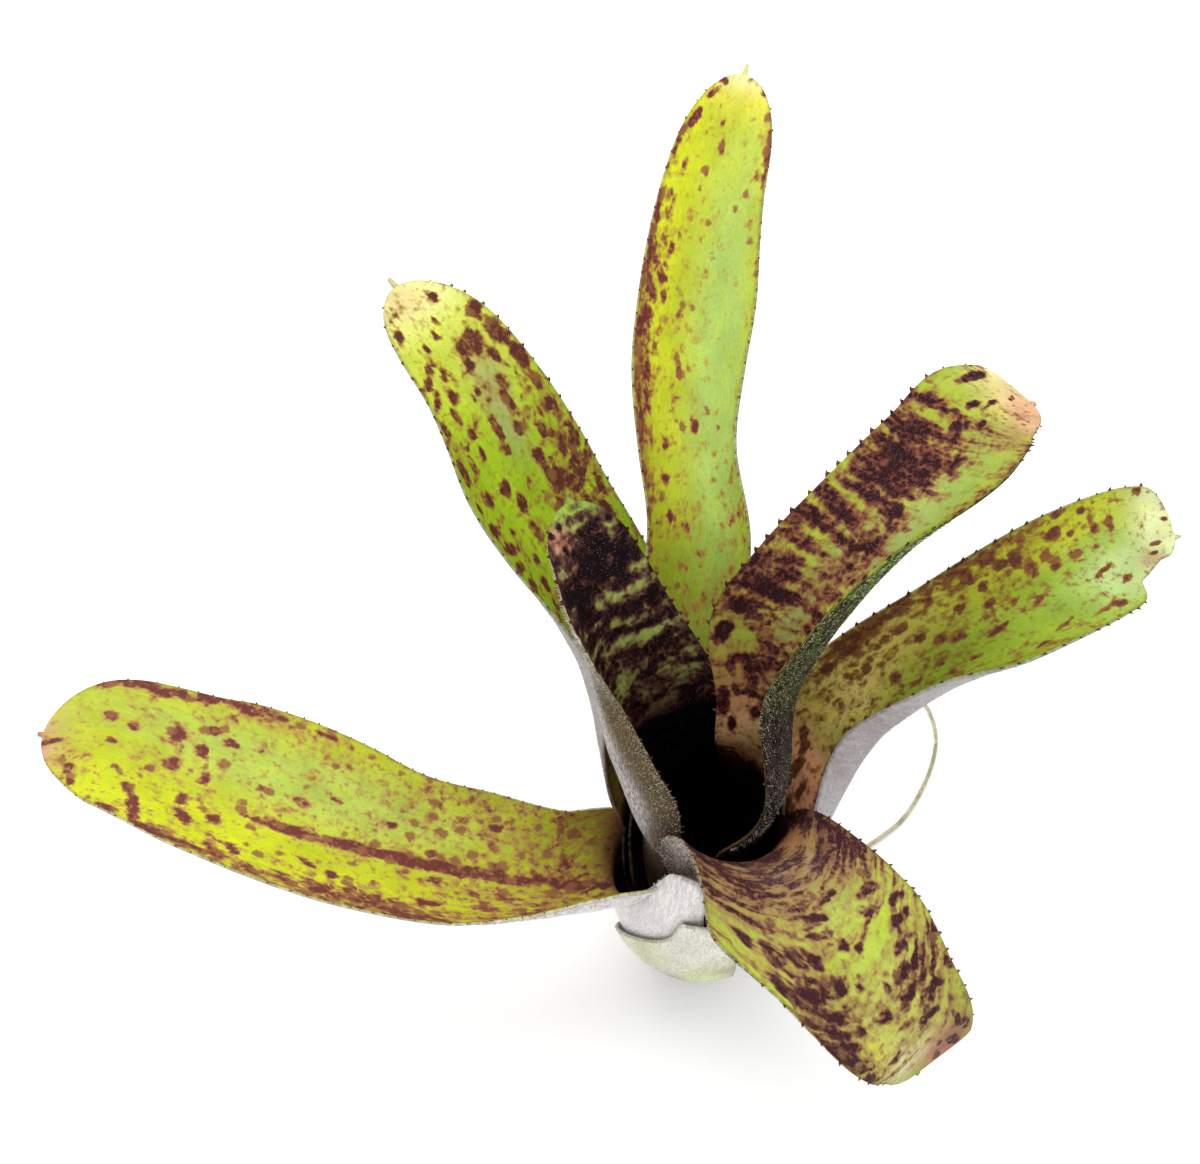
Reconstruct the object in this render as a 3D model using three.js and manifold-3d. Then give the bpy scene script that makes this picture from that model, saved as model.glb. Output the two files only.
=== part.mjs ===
// Neoregelia bromeliad: a small tubular rosette of seven spotted leaves whose sheaths nest
// into an upright tank, with a dried outer sheath, a cut stem with short roots and one long
// thin root. Units are millimetres, +Z is up, and the origin is the centre of the cut stem's
// foot on the ground. Leaf blades point out along the headings given below, counted
// anticlockwise from +X when seen from above.

import * as THREE from "three";
import Module from "manifold-3d";
import { mergeVertices } from "three/addons/utils/BufferGeometryUtils.js";

// ---------------------------------------------------------------- driving dimensions

// The tank: inner radius of the innermost sheath against height, then the step to each
// further sheath outwards. Outer sheaths spring from lower down on the stem.
const TANK_BORE = [
  [0, 4.6],
  [22, 5],
  [31, 7.8],
  [42, 9.8],
  [56, 10.8],
  [66, 11],
  [100, 11],
];
const SHEATH_PITCH = 1.35;
const SHEATH_RISE = 2.6;
const PITCH_AT_GROUND = 0.38;
const PITCH_FULL_HEIGHT = 30;
const TOP_FOOT_HEIGHT = 22;

// Leaf substance: thickness along the middle and at the margins.
const BLADE_MIDDLE = 1.0;
const BLADE_MARGIN = 0.65;
const SHEATH_THINNING = 0.75;
const THINNEST = 0.62;

// Marginal teeth and the spine at the leaf's tip.
const TOOTH_LENGTH = 1.1;
const TOOTH_SPACING = 5.4;
const TOOTH_START = 0.32;
const TOOTH_POINT = 0.66;
const TOOTH_END = 0.72;
const FIRST_TOOTH = 0.12;
const SPINE_HALF_WIDTH = 0.55;
const SPINE_TIP_HALF_WIDTH = 0.3;

// Stem and roots.
const STEM_OUTLINE = [
  [0, 0],
  [8.3, 0],
  [8.6, 0.8],
  [8.1, 2.6],
  [7.5, 4.2],
  [7.4, 11.4],
  [6.9, 14.2],
  [6.2, 16.8],
  [5.4, 19.4],
  [4.4, 22.0],
  [3.4, 23.6],
  [0, 24.6],
];
const STEM_SIDES = 28;
const ROOT_RADIUS = 1.1;
const LONG_ROOT_RADIUS = 0.45;
const ROOT_SIDES = 8;
const ROOT_STEP = 3;

// Mesh fineness.
const COLUMNS = 8;
const SHEATH_ROW = 8;
const TIP_ROWS = [0.35, 0.6, 0.78, 0.9, 0.97];

// Least bend of a leaf's section, per mm, and the small step that gives a slope.
const FLATTEST = 1e-4;
const NUDGE = 2e-3;

// Each leaf: its layer in the tank (0 is innermost), heading in degrees, height where the
// midrib leaves the tank wall, and the midrib's course from there to the tip. Along the leaf,
// place -1 is the foot of the sheath, 0 the neck and 1 the tip:
//   reach  half width left and right of the midrib, measured over the surface
//   curl   how far the section has turned up by the left and right margin, in degrees
//   roll   twist of the section about the midrib, in degrees
//   lift   height by which the left and right margins of the sheath stand above the midrib
//   blend  the places between which the round sheath opens into the blade
// tipLengths are the lengths over which the left and right margins round off to the tip.
// torn is the place from which the right margin has torn off, which leaves it without teeth.
const LEAVES = [
  {
    name: "leaf_1",
    layer: 6,
    heading: 179,
    neck: 38,
    course: [
      [-28, -4.5, 43.5],
      [-50, -5.5, 50.5],
      [-73, -2, 60],
      [-98, 5.5, 68],
      [-119, 12.5, 74],
      [-129, 13, 75],
    ],
    reach: [
      [-1, 15, 15],
      [-0.4, 26, 25],
      [-0.12, 26, 18],
      [0, 20, 13],
      [0.1, 16.5, 14.5],
      [0.25, 16, 17],
      [0.4, 17.2, 17.6],
      [0.5, 18, 19.4],
      [0.6, 18, 20],
      [0.7, 17.6, 19.2],
      [0.8, 16.8, 16.8],
      [0.9, 15.2, 14],
      [1, 13.5, 12.5],
    ],
    curl: [
      [0, 86, 60],
      [0.12, 98, 55],
      [0.2, 78, 48],
      [0.3, 60, 42],
      [0.4, 50, 38],
      [0.6, 40, 34],
      [0.8, 30, 25],
      [1, 12, 12],
    ],
    roll: [
      [0.3, 0],
      [1, 8],
    ],
    lift: [
      [-1, 0, 0],
      [-0.4, 34, 0],
      [-0.2, 42, 0],
      [-0.08, 43, 0],
      [0, 33, 0],
      [0.05, 14, 0],
      [0.1, 6, 0],
      [0.25, 0, 0],
    ],
    blend: [-0.12, 0.12],
    tipLengths: [17, 15],
    spine: 1,
    colour: 0xa9ad3c,
  },
  {
    name: "leaf_2",
    layer: 4,
    heading: 126,
    neck: 56,
    course: [
      [-16.5, 26, 68],
      [-24, 38.5, 83],
      [-33.1, 51.2, 96],
      [-41, 65, 108],
      [-52.2, 78.3, 116],
      [-61, 88, 119],
    ],
    reach: [
      [-1, 13, 14],
      [-0.4, 15, 28],
      [0, 13.5, 20],
      [0.08, 15.5, 19],
      [0.2, 17, 17],
      [0.35, 15.5, 16],
      [0.5, 15.2, 15],
      [0.6, 15.6, 14],
      [0.7, 13.8, 12.2],
      [0.8, 11.5, 11.3],
      [1, 10.5, 10.5],
    ],
    curl: [
      [0, 125, 60],
      [0.2, 125, 60],
      [0.35, 95, 52],
      [0.48, 65, 48],
      [0.6, 46, 45],
      [1, 20, 20],
    ],
    roll: [[0, 0]],
    lift: [[0, 0, 0]],
    blend: [0, 0.3],
    tipLengths: [20, 20],
    spine: 2.4,
    colour: 0x93a83a,
  },
  {
    name: "leaf_3",
    layer: 1,
    heading: 118,
    neck: 66,
    course: [
      [-12.3, 13.6, 80],
      [-17.7, 19.8, 98],
      [-21, 26.3, 110],
      [-24.2, 31.7, 116],
      [-26.6, 37.4, 118.3],
    ],
    reach: [
      [-1, 12, 12],
      [-0.4, 23, 22],
      [0, 25.5, 18],
      [0.1, 28.5, 17],
      [0.18, 29, 16.5],
      [0.25, 27.2, 16],
      [0.42, 21.6, 15],
      [0.55, 16, 12.8],
      [0.67, 11.5, 10.6],
      [0.78, 8.6, 8.8],
      [0.9, 7, 7.4],
      [1, 6.2, 6.6],
    ],
    curl: [
      [0, 138, 60],
      [0.07, 167, 54],
      [0.13, 175, 50],
      [0.2, 167, 46],
      [0.27, 151, 41],
      [0.4, 140, 35],
      [0.52, 122, 25],
      [0.64, 85, 18],
      [0.76, 32, 14],
      [0.88, -5, 12],
      [1, -25, 10],
    ],
    roll: [[0, 0]],
    lift: [[0, 0, 0]],
    blend: [0, 0.3],
    tipLengths: [8, 9],
    spine: 1,
    colour: 0x4a3428,
  },
  {
    name: "leaf_4",
    layer: 3,
    heading: 89,
    neck: 60,
    course: [
      [-2, 22, 76],
      [-3, 36, 90],
      [-3, 50, 101],
      [-3, 75, 116],
      [0, 100, 129],
      [7, 124, 140],
    ],
    reach: [
      [-1, 14, 14],
      [-0.4, 26, 26],
      [0, 20, 20],
      [0.25, 12.5, 12],
      [0.36, 10.4, 12.6],
      [0.46, 12.2, 9.2],
      [0.57, 13.4, 10.4],
      [0.66, 12.6, 11.6],
      [0.76, 11.2, 10.9],
      [0.86, 9.8, 9.8],
      [1, 9.4, 9.6],
    ],
    curl: [
      [0, 60, 60],
      [0.2, 60, 60],
      [0.4, 55, 75],
      [0.6, 50, 50],
      [1, 20, 20],
    ],
    roll: [[0, 0]],
    lift: [[0, 0, 0]],
    blend: [0, 0.3],
    tipLengths: [21, 21],
    spine: 2.2,
    colour: 0xb4cc4a,
  },
  {
    name: "leaf_5",
    layer: 0,
    heading: 50,
    neck: 76,
    course: [
      [9, 11, 86],
      [11, 15.5, 98],
      [17, 21.5, 112],
      [25.5, 29.5, 120.5],
      [39.5, 43.5, 124],
      [48, 54.5, 122.5],
      [59, 60, 118],
    ],
    reach: [
      [-1, 5, 10],
      [-0.4, 6, 24],
      [-0.1, 6, 27],
      [0, 7, 25],
      [0.15, 10.5, 18],
      [0.26, 14.6, 16],
      [0.4, 13.4, 16],
      [0.55, 12, 15],
      [0.7, 12, 13.5],
      [0.85, 11.5, 12],
      [1, 11.5, 11],
    ],
    curl: [
      [0, 50, 140],
      [0.15, 40, 145],
      [0.4, 25, 130],
      [0.52, 20, 105],
      [0.64, 18, 65],
      [0.8, 15, 28],
      [1, 10, 10],
    ],
    roll: [[0, 0]],
    lift: [[0, 0, 0]],
    blend: [0, 0.25],
    tipLengths: [6, 18],
    spine: 1.2,
    colour: 0x7d6a35,
  },
  {
    name: "leaf_6",
    layer: 5,
    heading: 27,
    neck: 54,
    course: [
      [21.8, 12.8, 67],
      [30.4, 18.4, 81],
      [40.4, 22.8, 90.5],
      [52.8, 28, 95],
      [66.2, 36.2, 96],
      [80, 44.5, 93],
      [93, 50, 88],
    ],
    reach: [
      [-1, 14, 14],
      [-0.4, 26, 28],
      [0, 16, 22],
      [0.2, 14.2, 23],
      [0.35, 12, 21.5],
      [0.45, 11, 18.5],
      [0.55, 12, 15],
      [0.7, 11.8, 13.4],
      [0.77, 11.5, 12.9],
      [0.843, 11.2, 11.5],
      [0.848, 11.2, 11.2],
      [0.856, 11.2, 8.3],
      [0.861, 11.2, 8],
      [0.892, 11.1, 6.8],
      [0.924, 11, 5.2],
      [0.945, 11, 4.1],
      [0.982, 11, 3.2],
      [1, 11, 2],
    ],
    curl: [
      [0, 60, 90],
      [0.2, 60, 118],
      [0.35, 50, 122],
      [0.45, 45, 105],
      [0.55, 45, 70],
      [0.65, 42, 48],
      [1, 20, 20],
    ],
    roll: [
      [0.3, 0],
      [0.6, 12],
      [1, 28],
    ],
    lift: [[0, 0, 0]],
    blend: [0, 0.3],
    tipLengths: [9, 4],
    torn: 0.848,
    spine: 1.6,
    colour: 0x97ad3e,
  },
  {
    name: "leaf_7",
    layer: 2,
    heading: -62,
    neck: 62,
    course: [
      [8.5, -13.5, 78],
      [13, -23.5, 92],
      [19, -35.5, 98],
      [27, -45, 91],
      [33, -48.8, 81.5],
      [34, -51, 72],
    ],
    reach: [
      [-1, 13, 11],
      [-0.4, 26, 16],
      [-0.15, 20, 14.5],
      [0, 16.5, 17],
      [0.1, 13.5, 17.5],
      [0.2, 12.6, 16],
      [0.3, 12.5, 16],
      [0.4, 13, 18],
      [0.45, 13.5, 19.6],
      [0.5, 14, 21],
      [0.6, 14.5, 16.6],
      [0.75, 13, 13],
      [0.9, 11, 10.5],
      [1, 11, 10],
    ],
    curl: [
      [0, 60, 60],
      [0.2, 40, 50],
      [0.6, 15, 15],
      [1, 10, 10],
    ],
    roll: [
      [0.1, 0],
      [0.3, -4],
      [1, -8],
    ],
    lift: [
      [-1, 0, 0],
      [-0.4, 0, 4],
      [-0.1, 0, 9],
      [0.1, 0, 10],
      [0.2, 0, 7],
      [0.3, 0, 1.5],
      [0.4, 0, 0],
    ],
    blend: [0, 0.3],
    tipLengths: [5, 16],
    spine: 1,
    colour: 0x9a9a42,
  },
];

// The dried outermost sheath has lost its blade and ends in a low point.
const OLD_SHEATH = {
  name: "old_sheath",
  layer: 7,
  heading: -95,
  neck: 60,
  course: [[-2, -22, 63]],
  reach: [
    [-1, 12, 6],
    [-0.75, 8, 20],
    [-0.55, 8, 20],
    [-0.4, 8, 15],
    [-0.2, 6, 7],
    [0, 3, 4],
    [1, 1, 1.5],
  ],
  curl: [[0, 60, 60]],
  roll: [[0, 0]],
  lift: [[0, 0, 0]],
  blend: [0.9, 1],
  tipLengths: [0, 0],
  spine: 0,
  colour: 0xc9cbb8,
};

// Short roots that prop the stem, each from inside the stem out to where it lies.
const PROP_ROOTS = [
  [
    [4, 1, 3.2],
    [10, 4, 1.5],
    [17, 7, 1.1],
    [22, 12, 1.1],
  ],
  [
    [3, 4, 3.4],
    [8, 12, 1.5],
    [11, 21, 1.1],
    [16, 28, 1.1],
  ],
  [
    [0, 5, 3.6],
    [-1, 14, 1.5],
    [2, 24, 1.1],
    [0, 33, 1.1],
  ],
  [
    [-3, 4, 3.4],
    [-9, 12, 1.5],
    [-11, 21, 1.1],
    [-17, 27, 1.1],
  ],
  [
    [-4, 1, 3.2],
    [-10, 4, 1.5],
    [-16, 8, 1.1],
    [-20, 14, 1.1],
  ],
];

// The long thin root lies on the ground and curls round at its end.
const LONG_ROOT = [
  [8.9, -0.6, 3.4],
  [13, 0, 1.2],
  [27, 10, 0.55],
  [42, 21, 0.55],
  [50, 27, 0.55],
  [55.5, 34.5, 0.55],
  [59.5, 43, 0.55],
  [61, 50, 0.55],
  [59.5, 58, 0.55],
  [55, 64, 0.55],
];

// ---------------------------------------------------------------- small maths

const DEGREE = Math.PI / 180;

function ease(value) {
  const t = THREE.MathUtils.clamp(value, 0, 1);
  return t * t * (3 - 2 * t);
}

// A smooth curve through rows [x, y1, y2 ...]: returns every y at x.
function follow(rows, x) {
  const values = rows[0].length - 1;
  if (rows.length === 1 || x <= rows[0][0]) {
    return rows[0].slice(1);
  }
  const last = rows.length - 1;
  if (x >= rows[last][0]) {
    return rows[last].slice(1);
  }
  const step = (i, k) => (rows[i + 1][k] - rows[i][k]) / (rows[i + 1][0] - rows[i][0]);
  const slope = (i, k) => {
    if (i === 0) {
      return step(0, k);
    }
    if (i === last) {
      return step(last - 1, k);
    }
    const before = rows[i][0] - rows[i - 1][0];
    const after = rows[i + 1][0] - rows[i][0];
    return (step(i - 1, k) * after + step(i, k) * before) / (before + after);
  };
  let i = 0;
  while (i < last - 1 && x >= rows[i + 1][0]) {
    i += 1;
  }
  const span = rows[i + 1][0] - rows[i][0];
  const t = (x - rows[i][0]) / span;
  const result = [];
  for (let k = 1; k <= values; k += 1) {
    result.push(
      (2 * t ** 3 - 3 * t ** 2 + 1) * rows[i][k] +
        (t ** 3 - 2 * t ** 2 + t) * span * slope(i, k) +
        (-2 * t ** 3 + 3 * t ** 2) * rows[i + 1][k] +
        (t ** 3 - t ** 2) * span * slope(i + 1, k),
    );
  }
  return result;
}

// ---------------------------------------------------------------- the tank

function tankRadius(layer, height) {
  const bore = follow(TANK_BORE, height + layer * SHEATH_RISE)[0];
  const opening = ease(height / PITCH_FULL_HEIGHT);
  const pitch = SHEATH_PITCH * (PITCH_AT_GROUND + (1 - PITCH_AT_GROUND) * opening);
  return bore + layer * pitch;
}

// ---------------------------------------------------------------- one leaf

class Leaf {
  constructor(spec) {
    Object.assign(this, spec);
    const angle = spec.heading * DEGREE;
    this.out = new THREE.Vector3(Math.cos(angle), Math.sin(angle), 0);
    this.side = new THREE.Vector3(-Math.sin(angle), Math.cos(angle), 0);
    const points = [];
    const foot = TOP_FOOT_HEIGHT - SHEATH_RISE * spec.layer;
    for (let height = foot; height < spec.neck - 3; height += 6) {
      points.push(this.onTank(height));
    }
    points.push(this.onTank(spec.neck));
    const neckIndex = points.length - 1;
    for (const [x, y, z] of spec.course) {
      points.push(new THREE.Vector3(x, y, z));
    }
    let length = 0;
    this.midrib = points.map((point, i) => {
      length += i > 0 ? point.distanceTo(points[i - 1]) : 0;
      return [length, point.x, point.y, point.z];
    });
    this.neckLength = this.midrib[neckIndex][0];
    this.length = length;
    this.bladeLength = length - this.neckLength;
    this.tip = points[points.length - 1];
    this.tipDirection = this.tip
      .clone()
      .sub(new THREE.Vector3(...follow(this.midrib, length - 0.5)))
      .normalize();
  }

  onTank(height) {
    return this.out.clone().multiplyScalar(tankRadius(this.layer, height)).setZ(height);
  }

  // Distance along the midrib of a place on the leaf.
  distance(place) {
    if (place < 0) {
      return (1 + place) * this.neckLength;
    }
    return this.neckLength + place * this.bladeLength;
  }

  midribPoint(distance) {
    if (distance <= this.length) {
      return new THREE.Vector3(...follow(this.midrib, distance));
    }
    return this.tip.clone().addScaledVector(this.tipDirection, distance - this.length);
  }

  // Half widths to the left and right margin, rounded off at the tip and drawn out to a spine.
  halfWidths(place) {
    const distance = this.distance(place);
    const [left, right] = follow(this.reach, place);
    if (this.spine === 0) {
      return [left, right];
    }
    const past = THREE.MathUtils.clamp((distance - this.length) / this.spine, 0, 1);
    const spine = THREE.MathUtils.lerp(SPINE_HALF_WIDTH, SPINE_TIP_HALF_WIDTH, past);
    const [roundLeft, roundRight] = this.tipLengths.map((tipLength) => {
      const along = (distance - (this.length - tipLength)) / tipLength;
      return Math.sqrt(1 - THREE.MathUtils.clamp(along, 0, 1) ** 2);
    });
    return [Math.max(left * roundLeft, spine), Math.max(right * roundRight, spine)];
  }

  // A station of the leaf: midrib point, section axes, and how far it has become a blade.
  station(place) {
    const distance = this.distance(place);
    const point = this.midribPoint(distance);
    const along = this.midribPoint(distance + 0.05)
      .sub(this.midribPoint(distance - 0.05))
      .normalize();
    const blade = ease((place - this.blend[0]) / (this.blend[1] - this.blend[0]));
    const across = this.side.clone().addScaledVector(along, -this.side.dot(along)).normalize();
    const normal = along.clone().cross(across).multiplyScalar(blade);
    normal.addScaledVector(this.out, blade - 1).normalize();
    across.multiplyScalar(blade).addScaledVector(this.side, 1 - blade);
    across.addScaledVector(normal, -across.dot(normal)).normalize();
    const roll = follow(this.roll, place)[0] * DEGREE * blade;
    const rolledAcross = across
      .clone()
      .multiplyScalar(Math.cos(roll))
      .addScaledVector(normal, Math.sin(roll));
    const rolledNormal = normal
      .clone()
      .multiplyScalar(Math.cos(roll))
      .addScaledVector(across, -Math.sin(roll));
    return { point, across: rolledAcross, normal: rolledNormal, blade };
  }

  // The upper face's point and normal at a distance left (+) or right (-) of the midrib.
  surface(place, offset) {
    const ahead = this.pointAt(place + NUDGE, offset).sub(this.pointAt(place - NUDGE, offset));
    const left = this.pointAt(place, offset + NUDGE).sub(this.pointAt(place, offset - NUDGE));
    return { position: this.pointAt(place, offset), facing: ahead.cross(left).normalize() };
  }

  pointAt(place, offset) {
    const k = offset >= 0 ? 0 : 1;
    const { point, across, normal, blade } = this.station(place);
    const reach = follow(this.reach, place)[k];
    const curl = follow(this.curl, place)[k] * DEGREE;
    const radius = Math.hypot(point.x, point.y);
    const roundness = (1 - blade) / radius + (blade * curl) / reach;
    const bend = Math.abs(roundness) < FLATTEST ? FLATTEST : roundness;
    const turn = bend * offset;
    const position = point
      .clone()
      .addScaledVector(across, Math.sin(turn) / bend)
      .addScaledVector(normal, (1 - Math.cos(turn)) / bend);
    const lift = follow(this.lift, place)[k] * (offset / reach) ** 2;
    const lifted = tankRadius(this.layer, point.z + lift) / tankRadius(this.layer, point.z);
    const swell = 1 + (1 - blade) * (lifted - 1);
    return position.set(position.x * swell, position.y * swell, position.z + lift);
  }

  thickness(place, share) {
    const flat = THREE.MathUtils.lerp(BLADE_MIDDLE, BLADE_MARGIN, Math.abs(share) ** 1.5);
    return Math.max(THINNEST, place < 0 ? flat * SHEATH_THINNING : flat);
  }

  // The places of the mesh's rows from the foot to the tip.
  rows() {
    const places = [];
    const sheathRows = Math.ceil(this.neckLength / SHEATH_ROW);
    for (let i = 0; i < sheathRows; i += 1) {
      places.push(i / sheathRows - 1);
    }
    if (this.spine === 0) {
      return [...places, 0, 1];
    }
    const tipStart = 1 - Math.max(...this.tipLengths) / this.bladeLength;
    const count = Math.round((this.bladeLength * tipStart) / TOOTH_SPACING);
    for (let i = 0; i <= count; i += 1) {
      places.push((tipStart * i) / count);
    }
    if (this.torn) {
      places.push(this.torn);
      places.sort((a, b) => a - b);
    }
    for (const share of TIP_ROWS) {
      places.push(tipStart + (1 - tipStart) * share);
    }
    places.push(1 + (0.3 * this.spine) / this.bladeLength);
    places.push(1 + this.spine / this.bladeLength);
    return places;
  }
}

// ---------------------------------------------------------------- leaf mesh

function leafGeometry(leaf) {
  const upper = [];
  const lower = [];
  const addVertex = (place, offset, share) => {
    const { position, facing } = leaf.surface(place, offset);
    const depth = leaf.thickness(place, share);
    upper.push(position);
    lower.push(position.clone().addScaledVector(facing, -depth));
    return upper.length - 1;
  };

  const places = leaf.rows();
  const grid = places.map((place) => {
    const [left, right] = leaf.halfWidths(place);
    const row = [];
    for (let j = 0; j <= COLUMNS; j += 1) {
      const share = (2 * j) / COLUMNS - 1;
      row.push(addVertex(place, share > 0 ? share * left : share * right, share));
    }
    return row;
  });

  const faces = [];
  const rim = [];
  const quad = (a, b, c, d) => {
    faces.push([a, c, b], [a, d, c]);
  };

  // The fringe between the last inner column and the margin, with a tooth where one grows.
  const fringe = (i, sign) => {
    const edge = sign > 0 ? COLUMNS : 0;
    const inner = sign > 0 ? COLUMNS - 1 : 1;
    const near = grid[i][inner];
    const far = grid[i + 1][inner];
    const start = grid[i][edge];
    const end = grid[i + 1][edge];
    const place = places[i];
    const step = places[i + 1] - place;
    const torn = sign < 0 && place >= leaf.torn;
    const toothed = place > FIRST_TOOTH && places[i + 1] < 1 && leaf.spine > 0 && !torn;
    const turned = (a, b, c) => faces.push(sign > 0 ? [a, c, b] : [a, b, c]);
    if (!toothed) {
      turned(near, start, end);
      turned(near, end, far);
      rim.push([sign, [start, end]]);
      return;
    }
    const onMargin = (share, extra) => {
      const at = place + step * share;
      const width = leaf.halfWidths(at)[sign > 0 ? 0 : 1] + extra;
      return addVertex(at, sign * width, 1);
    };
    const before = onMargin(TOOTH_START, 0);
    const point = onMargin(TOOTH_POINT, TOOTH_LENGTH);
    const after = onMargin(TOOTH_END, 0);
    turned(near, start, before);
    turned(near, before, far);
    turned(before, point, after);
    turned(before, after, far);
    turned(after, end, far);
    rim.push([sign, [start, before, point, after, end]]);
  };

  for (let i = 0; i < grid.length - 1; i += 1) {
    for (let j = 1; j < COLUMNS - 1; j += 1) {
      quad(grid[i][j], grid[i][j + 1], grid[i + 1][j + 1], grid[i + 1][j]);
    }
    fringe(i, 1);
    fringe(i, -1);
  }

  // Close the sheet: the lower face mirrors the upper one, and a rim joins them.
  const count = upper.length;
  const triangles = [];
  for (const [a, b, c] of faces) {
    triangles.push(a, b, c, a + count, c + count, b + count);
  }
  const wall = (a, b) => {
    triangles.push(a, b, b + count, a, b + count, a + count);
  };
  for (const [sign, chain] of rim) {
    for (let i = 0; i < chain.length - 1; i += 1) {
      if (sign > 0) {
        wall(chain[i], chain[i + 1]);
      } else {
        wall(chain[i + 1], chain[i]);
      }
    }
  }
  const first = grid[0];
  const last = grid[grid.length - 1];
  for (let j = 0; j < COLUMNS; j += 1) {
    wall(first[j], first[j + 1]);
    wall(last[j + 1], last[j]);
  }

  const geometry = new THREE.BufferGeometry();
  const coordinates = [...upper, ...lower].flatMap((point) => point.toArray());
  geometry.setAttribute("position", new THREE.Float32BufferAttribute(coordinates, 3));
  geometry.setIndex(triangles);
  return geometry;
}

// ---------------------------------------------------------------- stem and roots

function rootGeometry(points, radius) {
  const course = new THREE.CatmullRomCurve3(points.map((point) => new THREE.Vector3(...point)));
  const corners = [];
  for (let i = 0; i < ROOT_SIDES; i += 1) {
    const angle = (2 * Math.PI * i) / ROOT_SIDES;
    corners.push(new THREE.Vector2(radius * Math.cos(angle), radius * Math.sin(angle)));
  }
  return new THREE.ExtrudeGeometry(new THREE.Shape(corners), {
    extrudePath: course,
    steps: Math.ceil(course.getLength() / ROOT_STEP),
    bevelEnabled: false,
  });
}

function stemGeometry() {
  const outline = STEM_OUTLINE.map(([radius, height]) => new THREE.Vector2(radius, height));
  const lathe = new THREE.LatheGeometry(outline, STEM_SIDES);
  lathe.rotateX(Math.PI / 2);
  return lathe;
}

const wasm = await Module();
wasm.setup();

function toSolid(geometry) {
  const bare = geometry.clone();
  bare.deleteAttribute("normal");
  bare.deleteAttribute("uv");
  const merged = mergeVertices(bare, 1e-4);
  return new wasm.Manifold(
    new wasm.Mesh({
      numProp: 3,
      vertProperties: new Float32Array(merged.attributes.position.array),
      triVerts: new Uint32Array(merged.index.array),
    }),
  );
}

function fromSolid(solid) {
  const mesh = solid.getMesh();
  const geometry = new THREE.BufferGeometry();
  geometry.setAttribute("position", new THREE.BufferAttribute(mesh.vertProperties, 3));
  geometry.setIndex(new THREE.BufferAttribute(mesh.triVerts, 1));
  return geometry;
}

function stemWithRoots() {
  let solid = toSolid(stemGeometry());
  for (const points of PROP_ROOTS) {
    solid = solid.add(toSolid(rootGeometry(points, ROOT_RADIUS)));
  }
  return fromSolid(solid);
}

// ---------------------------------------------------------------- the plant

const plant = new THREE.Group();

function addPiece(name, geometry, colour, roughness) {
  geometry.computeVertexNormals();
  const material = new THREE.MeshStandardMaterial({ color: colour, roughness, metalness: 0 });
  material.name = name;
  const mesh = new THREE.Mesh(geometry, material);
  mesh.name = name;
  plant.add(mesh);
}

for (const spec of LEAVES) {
  addPiece(spec.name, leafGeometry(new Leaf(spec)), spec.colour, 0.45);
}
addPiece(OLD_SHEATH.name, leafGeometry(new Leaf(OLD_SHEATH)), OLD_SHEATH.colour, 0.7);
addPiece("stem", stemWithRoots(), 0x7a5f43, 0.85);
addPiece("long_root", rootGeometry(LONG_ROOT, LONG_ROOT_RADIUS), 0xb7b08e, 0.8);

export default plant;
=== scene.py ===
"""A neoregelia bromeliad: seven spotted leaves, a dried sheath, a cut stem and its roots."""

import math

import bpy
import numpy as np
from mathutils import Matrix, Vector


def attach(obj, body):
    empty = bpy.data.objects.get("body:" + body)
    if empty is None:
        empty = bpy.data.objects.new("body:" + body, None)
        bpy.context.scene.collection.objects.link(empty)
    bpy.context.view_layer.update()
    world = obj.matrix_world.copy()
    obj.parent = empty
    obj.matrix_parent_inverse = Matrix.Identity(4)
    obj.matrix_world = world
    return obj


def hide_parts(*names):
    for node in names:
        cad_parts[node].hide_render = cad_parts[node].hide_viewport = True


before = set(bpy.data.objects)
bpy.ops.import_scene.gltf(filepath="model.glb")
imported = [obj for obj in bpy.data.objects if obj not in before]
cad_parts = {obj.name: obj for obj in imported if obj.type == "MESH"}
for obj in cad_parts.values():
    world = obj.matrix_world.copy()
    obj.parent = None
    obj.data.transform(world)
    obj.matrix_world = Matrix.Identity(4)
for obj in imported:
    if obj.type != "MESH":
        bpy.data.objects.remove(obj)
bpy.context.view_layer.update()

MM = 0.001
UP = np.array([0.0, 0.0, 1.0])

# ------------------------------------------------------------------ driving dimensions, mm

# The tank: inner radius of the innermost sheath against height, then the step to each
# further sheath outwards.
TANK_BORE = [(0, 4.6), (22, 5), (31, 7.8), (42, 9.8), (56, 10.8), (66, 11), (100, 11)]
SHEATH_PITCH = 1.35
SHEATH_RISE = 2.6
SHEATH_STEP = 6
PITCH_AT_GROUND = 0.38
PITCH_FULL_HEIGHT = 30
TOP_FOOT_HEIGHT = 22
CLEAR_OF_NECK = 3

# Least bend of a leaf's section, per mm, and the steps between points that give a slope.
FLATTEST = 1e-4
NUDGE = 2e-3
COURSE_NUDGE = 0.05
TIP_NUDGE = 0.5

# Leaf substance.
BLADE_MIDDLE = 1
BLADE_MARGIN = 0.65
SHEATH_THINNING = 0.75
THINNEST = 0.62
SPINE_HALF_WIDTH = 0.55
SPINE_TIP_HALF_WIDTH = 0.3

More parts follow.
